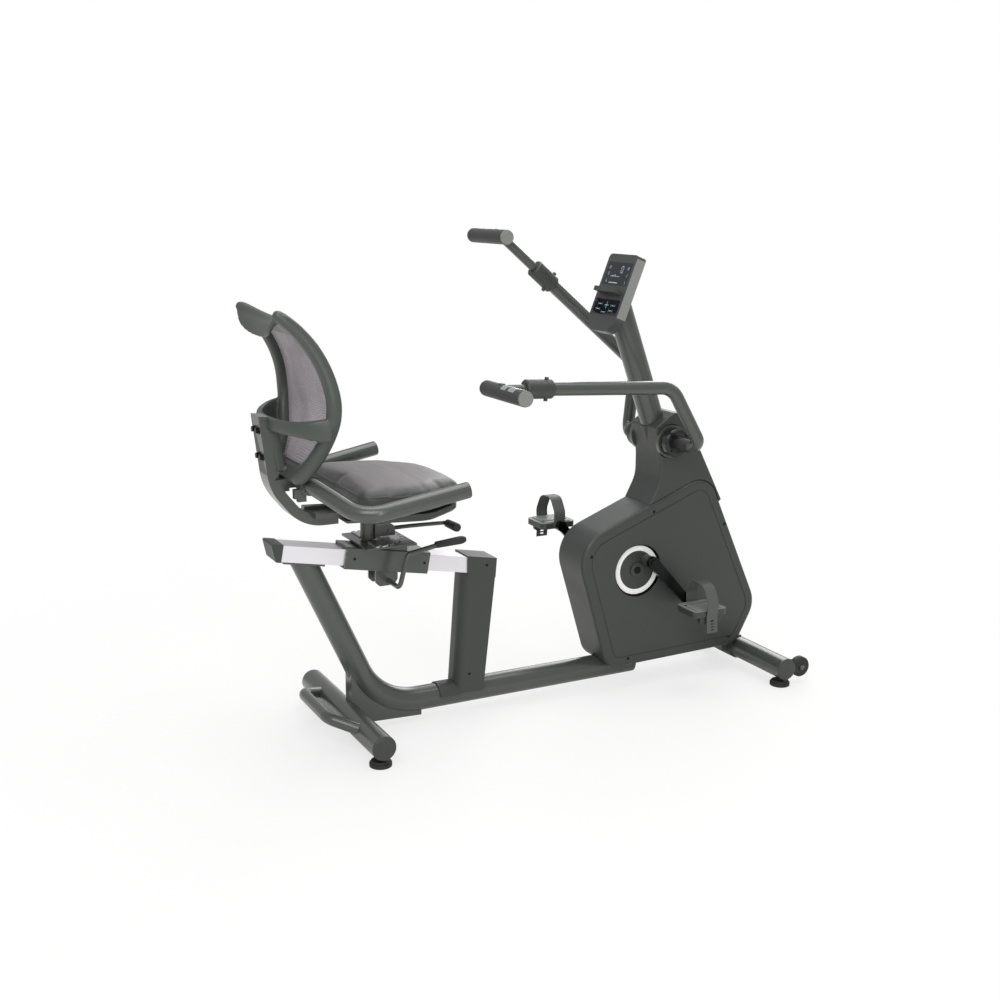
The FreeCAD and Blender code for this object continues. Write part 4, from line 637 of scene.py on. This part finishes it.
def densified(loop, pitch=0.002):
    """A closed polyline with points no further apart than a pitch."""
    points = []
    for i, point in enumerate(loop):
        ahead = loop[(i + 1) % len(loop)]
        steps = max(1, int((ahead - point).length / pitch))
        points += [point.lerp(ahead, k / steps) for k in range(steps)]
    return points


def top_share(height, low=0.97, high=1.05):
    """0 at the loins, 1 at the top of the backrest."""
    share = max(0.0, min(1.0, (height - low) / (high - low)))
    return share * share * (3 - 2 * share)


def dipped(side, height):
    """Height of a point of the outline once the top edge is drawn down in its middle."""
    across = max(0.0, 1 - (side / TOP_DIP_HALF) ** 2)
    return height - TOP_DIP * across * top_share(height, 1.02, 1.07)


def squared(wave, power):
    """A sine or cosine drawn out, so that the section it makes is squarer than an ellipse."""
    return math.copysign(abs(wave) ** power, wave)


def back_ring(count=176, around=22):
    """The rim: a rounded section run round between the outer and inner loops."""
    middle = Vector((0, BACK_CENTRE_HEIGHT))
    outer = polar(rounded_loop(OUTER_LOOP), count)
    inner = polar(rounded_loop(INNER_LOOP), count)
    rings = []
    for (angle, far), (_, near) in zip(outer, inner):
        way = Vector((math.cos(angle), math.sin(angle)))
        outside, inside = middle + way * far, middle + way * near
        outside.y = dipped(outside.x, outside.y)
        centre, half = (outside + inside) / 2, (outside - inside) / 2
        thick = RIM_HALF_DEPTH - RIM_THINNER_TOP * top_share(outside.y)
        ring = []
        for k in range(around):
            turn = 2 * math.pi * k / around
            spot = centre + half * squared(math.cos(turn), RIM_SQUARENESS)
            ring.append(on_back(spot.x, spot.y, squared(math.sin(turn), RIM_SQUARENESS) * thick))
        rings.append(ring)
    return loft("rim", rings)


def top_lip(steps=56, bends=8):
    """The flange that rolls back and down behind the top edge, deepest in the middle."""
    rings = []
    for i in range(steps + 1):
        side = LIP_HALF * (2 * i / steps - 1)
        crest = on_back(side, dipped(side, OUTER_LOOP[2][1]) - LIP_BELOW_EDGE)
        fade = 1 - abs(side / LIP_HALF) ** 4.5
        line = []
        for k in range(bends + 1):
            turn = math.pi / 2 * k / bends
            drop = -LIP_DROP * fade * (1 - math.cos(turn)) - LIP_END_DROP * (1 - fade)
            line.append(crest + Vector((LIP_AHEAD - LIP_BACK * fade * math.sin(turn), 0, drop)))
        ring = []
        for run in (line, line[::-1]):
            for k, point in enumerate(run):
                ahead = run[min(k + 1, bends)] - run[max(k - 1, 0)] + Vector((-0.0001, 0, 0))
                out = Vector((ahead.z, 0, -ahead.x)).normalized()
                ring.append(point - out * LIP_THICK)
        rings.append(ring)
    return loft("lip", rings, closed_run=False, caps=True)


def lumbar_bow(steps=48, around=16):
    """The bow behind the loins: a flat band that swells where it meets the rim."""
    rings = []
    for i in range(steps + 1):
        turn = math.pi * i / steps
        side, back = BOW_HALF_WIDTH * math.cos(turn), -BOW_DEPTH * math.sin(turn)
        centre = Vector((BOW_STATION + back, side, BOW_HEIGHT))
        run = Vector((-BOW_DEPTH * math.cos(turn), -BOW_HALF_WIDTH * math.sin(turn), 0)).normalized()
        out = Vector((run.y, -run.x, 0))
        swell = 1 + 0.7 * abs(math.cos(turn)) ** 6
        ring = []
        for k in range(around):
            angle = 2 * math.pi * k / around
            thick = squared(math.cos(angle), BOW_SQUARENESS) * BOW_HALF_THICK
            tall = squared(math.sin(angle), BOW_SQUARENESS) * BOW_HALF_TALL * swell
            ring.append(centre + out * thick + Vector((0, 0, tall)))
        rings.append(ring)
    return loft("bow", rings, closed_run=False, caps=True)


def rib(side):
    """Upright rib between the lumbar bow and the foot of the rim."""
    bpy.ops.mesh.primitive_cube_add(size=1, location=(RIB_STATION, side, RIB_HEIGHT))
    obj = bpy.context.object
    obj.dimensions = RIB_SIZE
    obj.rotation_euler = (0, RIB_LEAN, 0)
    return settle(obj)


class BIKE_OT_backrest_frame(bpy.types.Operator):
    """Models the moulded backrest frame: rim, lumbar bow and ribs grown into one"""
    bl_idname = "bike.backrest_frame"
    bl_label = "Backrest frame"

    def execute(self, context):
        piece = join("backrest_rim", back_ring(), top_lip(), lumbar_bow(), rib(-RIB_SIDE), rib(RIB_SIDE))
        apply_modifier(piece, "REMESH", "fuse", mode="VOXEL", voxel_size=BACK_VOXEL)
        apply_modifier(piece, "SMOOTH", "melt", factor=0.6, iterations=10)
        smooth(piece, 180)
        mount_piece(piece, "seat", "moulded_nylon")
        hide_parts("backrest_frame")
        return {"FINISHED"}


class BIKE_OT_backrest_mesh(bpy.types.Operator):
    """Models the woven sheet stretched inside the backrest frame"""
    bl_idname = "bike.backrest_mesh"
    bl_label = "Backrest mesh"

    def execute(self, context):
        loop = densified(rounded_loop(INNER_LOOP))
        low = min(p.y for p in loop) - MESH_TUCK
        high = max(p.y for p in loop) + MESH_TUCK
        rows, columns = 72, 56
        built = bmesh.new()
        uv = built.loops.layers.uv.new("weave")
        grid, places = [], {}
        for i in range(rows + 1):
            height = low + (high - low) * i / rows
            near = [abs(p.x) for p in loop if abs(p.y - height) < MESH_ROW_REACH]
            half = max(near, default=MESH_END_HALF) + MESH_TUCK
            line = []
            for j in range(columns + 1):
                side = -half + 2 * half * j / columns
                sag = MESH_SAG * (1 - (side / half) ** 2) * math.sin(math.pi * i / rows)
                vert = built.verts.new(on_back(side, height, MESH_AHEAD - sag))
                places[vert] = (side, height)
                line.append(vert)
            grid.append(line)
        for i in range(rows):
            for j in range(columns):
                face = built.faces.new((grid[i][j], grid[i][j + 1], grid[i + 1][j + 1], grid[i + 1][j]))
                for corner in face.loops:
                    corner[uv].uv = places[corner.vert]
        piece = from_bmesh("backrest_cloth", built)
        apply_modifier(piece, "SOLIDIFY", "cloth", thickness=MESH_THICK, offset=0)
        smooth(piece, 60)
        mount_piece(piece, "seat", "woven_mesh")
        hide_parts("backrest_mesh")
        return {"FINISHED"}


# ---------------------------------------------------------------- cushion

CUSHION_VOXEL = 0.005
CUSHION_CAP = 0.007
CUSHION_SHRINK = 0.003
CUSHION_FRAMES = 20
SEAT_TILT = math.radians(3)
# The crown: shares of the cushion's height and length where it starts and where the front narrows.
CROWN_LEVEL, CROWN_BLEND = 0.45, 0.3
CROWN_RISE = 0.0090
SHOULDER_DROP, SHOULDER_WIDTH = 0.0160, 0.060
NARROW_START, NARROW_RUN, NARROW_BY = 0.59, 0.41, 0.100
BEAD_LEVEL, BEAD_INSET, BEAD_RADIUS = 0.66, 0.0004, 0.0020
TOP_CLOTH_NORMAL, TOP_CLOTH_ABOVE = 0.72, 0.030
CLOTH_SETTINGS = {"quality": 5, "mass": 0.3, "tension_stiffness": 25, "compression_stiffness": 25,
                  "bending_stiffness": 2, "use_pressure": True, "uniform_pressure_force": 4}


def swell_cushion(piece):
    """Blows the cushion up as cloth under pressure, and holds each point near where it was."""
    rest = [vert.co.copy() for vert in piece.data.vertices]
    cloth = piece.modifiers.new("swell", "CLOTH")
    for key, value in CLOTH_SETTINGS.items():
        setattr(cloth.settings, key, value)
    cloth.settings.effector_weights.gravity = 0
    cloth.point_cache.frame_start = 1
    cloth.point_cache.frame_end = CUSHION_FRAMES
    for step in range(1, CUSHION_FRAMES + 1):
        bpy.context.scene.frame_set(step)
    activate(piece)
    bpy.ops.object.modifier_apply(modifier="swell")
    bpy.context.scene.frame_set(1)
    for vert, start in zip(piece.data.vertices, rest):
        move = vert.co - start
        if move.length > CUSHION_CAP:
            vert.co = start + move.normalized() * CUSHION_CAP


def shrink(piece, amount):
    """Draws a closed mesh in along its normals."""
    normals = [vert.normal.copy() for vert in piece.data.vertices]
    for vert, normal in zip(piece.data.vertices, normals):
        vert.co -= normal * amount


def crown(piece, low, high):
    """Raises the middle of the top and rounds its shoulders, which slope away all round."""
    for vert in piece.data.vertices:
        along = (vert.co.x - low[0]) / (high[0] - low[0])
        level = (vert.co.z - low[2]) / (high[2] - low[2])
        if level > CROWN_LEVEL:
            share = min(1.0, (level - CROWN_LEVEL) / CROWN_BLEND)
            half = high[1] - max(0.0, along - NARROW_START) / NARROW_RUN * NARROW_BY
            inside = min(half - abs(vert.co.y), vert.co.x - low[0], high[0] - vert.co.x)
            shoulder = (1 - max(0.0, min(1.0, inside / SHOULDER_WIDTH))) ** 2
            dome = max(0.0, 1 - abs(vert.co.y / half) ** 2.4) * max(0.0, 1 - abs(2 * along - 1) ** 3.0)
            vert.co.z += share * (CROWN_RISE * dome - SHOULDER_DROP * shoulder)


def edge_points(piece, level_share, inset, count=96, reach=0.0045):
    """Closed run of points round the cushion at a share of its height, drawn in a little."""
    low = min(vert.co.z for vert in piece.data.vertices)
    high = max(vert.co.z for vert in piece.data.vertices)
    middle = sum((vert.co for vert in piece.data.vertices), Vector()) / len(piece.data.vertices)
    slope = math.tan(SEAT_TILT)
    wanted = low + (high - low) * level_share
    best = [None] * count
    for vert in piece.data.vertices:
        offset = vert.co - middle
        if abs(vert.co.z + slope * offset.x - wanted) > reach:
            continue
        k = int((math.atan2(offset.y, offset.x) + math.pi) / (2 * math.pi) * count) % count
        if best[k] is None or offset.xy.length > (best[k] - middle).xy.length:
            best[k] = vert.co.copy()
    points = [point for point in best if point]
    return [point + (middle - point).normalized() * inset for point in points]


def piping(name, points, radius):
    """Round bead along a closed run of points."""
    curve = bpy.data.curves.new(name, "CURVE")
    curve.dimensions = "3D"
    curve.bevel_depth = radius
    curve.bevel_resolution = 2
    spline = curve.splines.new("NURBS")
    spline.points.add(len(points) - 1)
    for spot, point in zip(spline.points, points):
        spot.co = (*point, 1)
    spline.order_u = 4
    spline.use_cyclic_u = True
    spline.resolution_u = 3
    obj = new_object(name, curve)
    activate(obj)
    bpy.ops.object.convert(target="MESH")
    return bpy.context.object


class BIKE_OT_seat_cushion(bpy.types.Operator):
    """Swells the seat cushion, gives it a top cloth and a darker copy of the cloth round its side as painted
    shade, and sews piping round its edge
    """
    bl_idname = "bike.seat_cushion"
    bl_label = "Seat cushion"

    def execute(self, context):
        low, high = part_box("seat_cushion")
        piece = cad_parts["seat_cushion"].copy()
        piece.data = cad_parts["seat_cushion"].data.copy()
        piece.name = "cushion"
        piece.hide_render = False
        piece.parent = None
        context.scene.collection.objects.link(piece)
        built = bmesh.new()
        built.from_mesh(piece.data)
        bmesh.ops.remove_doubles(built, verts=built.verts, dist=0.00005)
        built.to_mesh(piece.data)
        built.free()
        apply_modifier(piece, "REMESH", "skin", mode="VOXEL", voxel_size=CUSHION_VOXEL)
        shrink(piece, CUSHION_SHRINK)
        crown(piece, low, high)
        swell_cushion(piece)
        apply_modifier(piece, "SMOOTH", "rest", factor=0.5, iterations=9)
        floor = low[2] + 0.0005
        for vert in piece.data.vertices:
            slope = (vert.co.x - low[0]) * -math.tan(SEAT_TILT)
            vert.co.z = max(vert.co.z, floor + max(0.0, slope))
        bead = piping("cushion_bead", edge_points(piece, BEAD_LEVEL, BEAD_INSET), BEAD_RADIUS)
        apply_modifier(piece, "SUBSURF", "round", levels=1, render_levels=1)
        # The sides and the piping get the darker copy of the cloth as painted shade; the upward faces get the
        # top cloth.
        finish(piece, "coated_cloth_painted_shade")
        piece.data.materials.append(FINISHES["coated_cloth"])
        for face in piece.data.polygons:
            if face.normal.z > TOP_CLOTH_NORMAL and face.center.z > low[2] + TOP_CLOTH_ABOVE:
                face.material_index = 1
        finish(bead, "coated_cloth_painted_shade")
        smooth(piece, 180)
        smooth(bead, 180)
        for part in (piece, bead):
            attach(part, "seat")
        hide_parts("seat_cushion")
        return {"FINISHED"}


# ---------------------------------------------------------------- hub rings and screws

RING_SIDE, RING_DEPTH, RING_ROUND = 0.0990, 0.0030, 0.0009
RING_RADIUS, RING_HOLE = 0.0350, 0.0215
RING_SCREW_RADIUS, RING_SCREW_RISE, RING_SCREW_TURN = 0.0285, 0.0018, 40
SCREW_RADIUS, SCREW_DEPTH, SCREW_ROUND, SCREW_PROUD = 0.0032, 0.0018, 0.0005, 0.0004
RECESS_BORDER, RECESS_WALL, RECESS_DEPTH = 0.0012, 0.0003, 0.0008
# Node whose sides carry the screws: its body, and each screw's station and height.
COVER_SCREWS = {"carriage": ("seat_slide", ((0.0145, 0.456), (0.1972, 0.4236))),
                "upright_cover_right": ("frame", ((0.3713, 0.3953), (0.3219, 0.1124)))}


def select_faces(obj, test):
    """Leaves the active object in edit mode with only the faces that pass a test selected."""
    bpy.ops.object.mode_set(mode="EDIT")
    bpy.ops.mesh.select_mode(type="FACE")
    bpy.ops.mesh.select_all(action="DESELECT")
    bpy.ops.object.mode_set(mode="OBJECT")
    for face in obj.data.polygons:
        face.select = test(face)
    bpy.ops.object.mode_set(mode="EDIT")


def turned_disc(name, centre, radius, depth, round_edge, hole=0.0, sides=48):
    """Flat disc or ring on a crosswise axis with a rounded outer edge."""
    bpy.ops.mesh.primitive_cylinder_add(vertices=sides, radius=radius, depth=depth, location=centre,
                                        rotation=(math.pi / 2, 0, 0))
    obj = bpy.context.object
    obj.name = name
    settle(obj)
    if hole:
        select_faces(obj, lambda face: abs(face.normal.y) > 0.9)
        bpy.ops.mesh.inset(thickness=radius - hole)
        bpy.ops.mesh.bridge_edge_loops()
        bpy.ops.object.mode_set(mode="OBJECT")
    apply_modifier(obj, "BEVEL", "edge", width=round_edge, segments=3, limit_method="ANGLE",
                   angle_limit=math.radians(50))
    smooth(obj, 40)
    return obj


def pan_screw(centre, side):
    """Pan-head screw with a sunk drive recess."""
    head = turned_disc("screw", centre, SCREW_RADIUS, SCREW_DEPTH, SCREW_ROUND, sides=20)
    outer = max(vert.co.y * side for vert in head.data.vertices)
    select_faces(head, lambda face: face.center.y * side > outer - 0.00001)
    bpy.ops.mesh.inset(thickness=RECESS_BORDER)
    bpy.ops.mesh.inset(thickness=RECESS_WALL, depth=-RECESS_DEPTH)
    bpy.ops.object.mode_set(mode="OBJECT")
    return head


class BIKE_OT_hub_rings(bpy.types.Operator):
    """Adds the glossy ring and its screws on the flange of each swinging arm"""
    bl_idname = "bike.hub_rings"
    bl_label = "Hub rings"

    def execute(self, context):
        for hand, side in (("right", -1), ("left", 1)):
            centre = HUB_AXIS + Vector((0, side * RING_SIDE, 0))
            ring = turned_disc(f"hub_ring_{hand}", centre, RING_RADIUS, RING_DEPTH, RING_ROUND, RING_HOLE)
            screws = []
            for k in range(4):
                turn = math.radians(RING_SCREW_TURN + 90 * k)
                spot = centre + Vector((RING_SCREW_RADIUS * math.cos(turn), side * RING_SCREW_RISE,
                                        RING_SCREW_RADIUS * math.sin(turn)))
                screws.append(pan_screw(spot, side))
            heads = join(f"hub_screws_{hand}", *screws)
            mount_piece(ring, f"swing_{hand}", "gloss_abs")
            mount_piece(heads, f"swing_{hand}", "black_oxide")
        return {"FINISHED"}


class BIKE_OT_cover_screws(bpy.types.Operator):
    """Adds the small screws in the sides of the carriage and the upright cover"""
    bl_idname = "bike.cover_screws"
    bl_label = "Cover screws"

    def execute(self, context):
        for node, (body, spots) in COVER_SCREWS.items():
            half = abs(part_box(node)[0].y)
            screws = [pan_screw(Vector((STATION_0 + ahead, side * (half + SCREW_PROUD), height)), side)
                      for ahead, height in spots for side in (-1, 1)]
            mount_piece(join(f"screws_{body}", *screws), body, "black_oxide")
        return {"FINISHED"}


# ---------------------------------------------------------------- console marks

# Each segment of a digit: its side and height in the digit, and its share of the width and the height.
SEGMENTS = {"a": (0, 1, 1, 0), "b": (0.5, 0.5, 0, 1), "c": (0.5, -0.5, 0, 1), "d": (0, -1, 1, 0),
            "e": (-0.5, -0.5, 0, 1), "f": (-0.5, 0.5, 0, 1), "g": (0, 0, 1, 0)}
DIGITS = {"0": "abcdef", "1": "bc", "2": "abged", "3": "abgcd", "5": "afgcd", "8": "abcdefg"}
# Digits with side, height and size; bars with side, height, width and tallness; keys with side and height.
READOUTS = (("0", -0.016, 0.158, 0.0085), ("20", 0.046, 0.163, 0.0034), ("15", 0.046, 0.146, 0.0034),
            ("8", 0.042, 0.126, 0.0034), ("30", -0.040, 0.162, 0.0034), ("2", -0.046, 0.143, 0.0034),
            ("5", -0.046, 0.124, 0.0034))
BARS = ((0.008, 0.139, 0.044, 0.0012), (0.008, 0.122, 0.040, 0.0026),
        (0.020, 0.1405, 0.004, 0.0018), (0.014, 0.1414, 0.004, 0.0018), (0.008, 0.1423, 0.004, 0.0018),
        (0, 0.062, 0.018, 0.0016), (0, 0.062, 0.0016, 0.018))
KEYS = ((0.032, 0.064), (0.036, 0.050), (0.006, 0.043), (-0.030, 0.062), (-0.026, 0.048))
KEY_BAR, KEY_END, KEY_HALF = (0.010, 0.0020), (0.0007, 0.006), 0.009
STROKE_LENGTH, STROKE_WIDTH, DIGIT_PITCH = 0.85, 0.2, 1.5
MARK_THICK, MARK_ROUND, MARK_SINK = 0.0003, 0.0001, 0.0001


def console_mark(side, up, width, height):
    """Thin raised mark on the console's panes, at a side and a height in its frame."""
    bpy.ops.mesh.primitive_cube_add(size=1)
    mark = bpy.context.object
    mark.scale = (MARK_THICK, width, height)
    settle(mark)
    apply_modifier(mark, "BEVEL", "edge", width=MARK_ROUND, segments=1)
    for vert in mark.data.vertices:
        vert.co = CONSOLE_FOOT + CONSOLE_TURN @ (vert.co + Vector((-MARK_SINK, side, up)))
    return mark


def digit_marks(text, side, up, size):
    """Seven-segment digits, read from the saddle side: left is the rider's left."""
    marks = []
    for place, letter in enumerate(text):
        middle = side - place * size * DIGIT_PITCH
        for name in DIGITS[letter]:
            across, rise, wide, tall = SEGMENTS[name]
            width, height = (max(size * part * STROKE_LENGTH, size * STROKE_WIDTH) for part in (wide, tall))
            marks.append(console_mark(middle - across * size, up + rise * size, width, height))
    return marks


class BIKE_OT_console_marks(bpy.types.Operator):
    """Adds the display digits and bars and the marks of the keys"""
    bl_idname = "bike.console_marks"
    bl_label = "Console marks"

    def execute(self, context):
        marks = []
        for readout in READOUTS:
            marks += digit_marks(*readout)
        marks += [console_mark(*bar) for bar in BARS]
        for side, up in KEYS:
            marks.append(console_mark(side, up, *KEY_BAR))
            for edge in (-KEY_HALF, KEY_HALF):
                marks.append(console_mark(side + edge, up, *KEY_END))
        mount_piece(join("console_marks", *marks), "frame", "printed_ink")
        return {"FINISHED"}


# ---------------------------------------------------------------- stage

CAMERA_PLACE = Vector((-1.5947, -2.9083, 1.3073))
CAMERA_HEADING = math.radians(62.655)
CAMERA_PITCH = math.radians(-13.006)
CAMERA_ROLL = math.radians(0.304)
CAMERA_LENS_MM = 47.457
SENSOR_WIDTH_MM = 36
FLOOR_SIZE = 60
# Floor: share of its own glow under the bike, and the distances where the glow starts to grow and is full.
FLOOR_GLOW, FLOOR_NEAR, FLOOR_FAR = 0.70, 0.7, 2.2
WORLD_STRENGTH = 0.55
# Lamps: place, aim, size and power.
LAMPS = {"lamp_key": ((-2.4, -2.6, 3.4), (0, 0, 0.5), (2.4, 2.4), 70),
         "lamp_side": ((-1.0, -4.0, 1.9), (0, 0, 0.8), (0.5, 2.8), 26),
         "lamp_top": ((0.4, 0.2, 4.0), (0, 0, 0.3), (3.5, 2.5), 80),
         "lamp_back": ((2.4, 2.8, 2.4), (0, 0, 0.6), (2.0, 2.6), 50)}


def stage_material(name, hex_code, glow, near, far):
    """Matt white ground that also glows for the camera, fully beyond a distance, so shadows stay soft."""
    material, tree, shader, place = new_material(name)
    reach = add_node(tree, "ShaderNodeVectorMath", {0: place}, operation="LENGTH").outputs["Value"]
    lit = remap(tree, reach, near, far, glow, 1.0, interpolation_type="SMOOTHSTEP")
    ray = add_node(tree, "ShaderNodeLightPath").outputs["Is Camera Ray"]
    share = combined(tree, "MULTIPLY", ray, lit)
    set_inputs(tree, shader, {"Base Color": linear(hex_code), "Roughness": 0.8})
    light = add_node(tree, "ShaderNodeEmission", {"Color": (1, 1, 1, 1), "Strength": 1.0}).outputs[0]
    mix = add_node(tree, "ShaderNodeMixShader", {0: share, 1: shader.outputs[0], 2: light}).outputs[0]
    output = next(n for n in tree.nodes if n.type == "OUTPUT_MATERIAL")
    tree.links.new(mix, output.inputs["Surface"])
    return material


def soft_lamp(name, place, aim, size, power):
    """Large soft lamp that points at a place."""
    lamp = bpy.data.lights.new(name, "AREA")
    lamp.shape = "RECTANGLE"
    lamp.size, lamp.size_y = size
    lamp.energy = power
    obj = new_object(name, lamp)
    obj.location = place
    obj.rotation_euler = (Vector(aim) - Vector(place)).to_track_quat("-Z", "Y").to_euler()


class BIKE_OT_stage(bpy.types.Operator):
    """Adds the pale floor, the soft lamps and the camera"""
    bl_idname = "bike.stage"
    bl_label = "Stage"

    def execute(self, context):
        scene = context.scene
        bpy.ops.mesh.primitive_plane_add(size=FLOOR_SIZE, location=(0, 0, 0))
        floor = context.object
        floor.name = "floor"
        paint = stage_material("floor_paint", "#E9E8E6", FLOOR_GLOW, FLOOR_NEAR, FLOOR_FAR)
        floor.data.materials.append(paint)
        world = bpy.data.worlds.new("studio")
        scene.world = world
        world.use_nodes = True
        tree = world.node_tree
        tree.nodes.clear()
        path = add_node(tree, "ShaderNodeLightPath").outputs
        seen = combined(tree, "MAXIMUM", path["Is Camera Ray"], path["Is Transmission Ray"])
        strength = remap(tree, seen, 0.0, 1.0, WORLD_STRENGTH, 1.0)
        sky = add_node(tree, "ShaderNodeBackground", {"Color": (1, 1, 1, 1), "Strength": strength})
        add_node(tree, "ShaderNodeOutputWorld", {"Surface": sky.outputs[0]})
        for name, (place, aim, size, power) in LAMPS.items():
            soft_lamp(name, place, aim, size, power)
        camera = new_object("camera", bpy.data.cameras.new("camera"))
        camera.data.lens = CAMERA_LENS_MM
        camera.data.sensor_width = SENSOR_WIDTH_MM
        turn = (Matrix.Rotation(CAMERA_HEADING - math.pi / 2, 4, "Z")
                @ Matrix.Rotation(math.pi / 2 + CAMERA_PITCH, 4, "X")
                @ Matrix.Rotation(CAMERA_ROLL, 4, "Z"))
        camera.matrix_world = Matrix.Translation(CAMERA_PLACE) @ turn
        scene.camera = camera
        scene.view_settings.view_transform = "Standard"
        return {"FINISHED"}


# ---------------------------------------------------------------- panel, registration, run

class BIKE_PT_panel(bpy.types.Panel):
    """Lists the steps that build the bike"""
    bl_label = "Bike"
    bl_idname = "BIKE_PT_panel"
    bl_space_type = "VIEW_3D"
    bl_region_type = "UI"
    bl_category = "Bike"

    def draw(self, context):
        for operator in OPERATORS:
            self.layout.operator(operator.bl_idname)


OPERATORS = [BIKE_OT_finishes, BIKE_OT_backrest_frame, BIKE_OT_backrest_mesh, BIKE_OT_seat_cushion,
             BIKE_OT_hub_rings, BIKE_OT_cover_screws, BIKE_OT_console_marks, BIKE_OT_stage]
CLASSES = [BikeColours, BikeSizes, *OPERATORS, BIKE_PT_panel]


def register():
    """Registers the classes and the scene's settings."""
    for cls in CLASSES:
        bpy.utils.register_class(cls)
    bpy.types.Scene.bike_colours = bpy.props.PointerProperty(type=BikeColours)
    bpy.types.Scene.bike_sizes = bpy.props.PointerProperty(type=BikeSizes)


def unregister():
    """Removes the settings and the classes."""
    del bpy.types.Scene.bike_colours
    del bpy.types.Scene.bike_sizes
    for cls in reversed(CLASSES):
        bpy.utils.unregister_class(cls)


def main():
    """Builds everything in order."""
    register()
    for operator in OPERATORS:
        bpy.ops.object.select_all(action="DESELECT")
        group, name = operator.bl_idname.split(".")
        getattr(getattr(bpy.ops, group), name)()


if __name__ == "__main__":
    main()
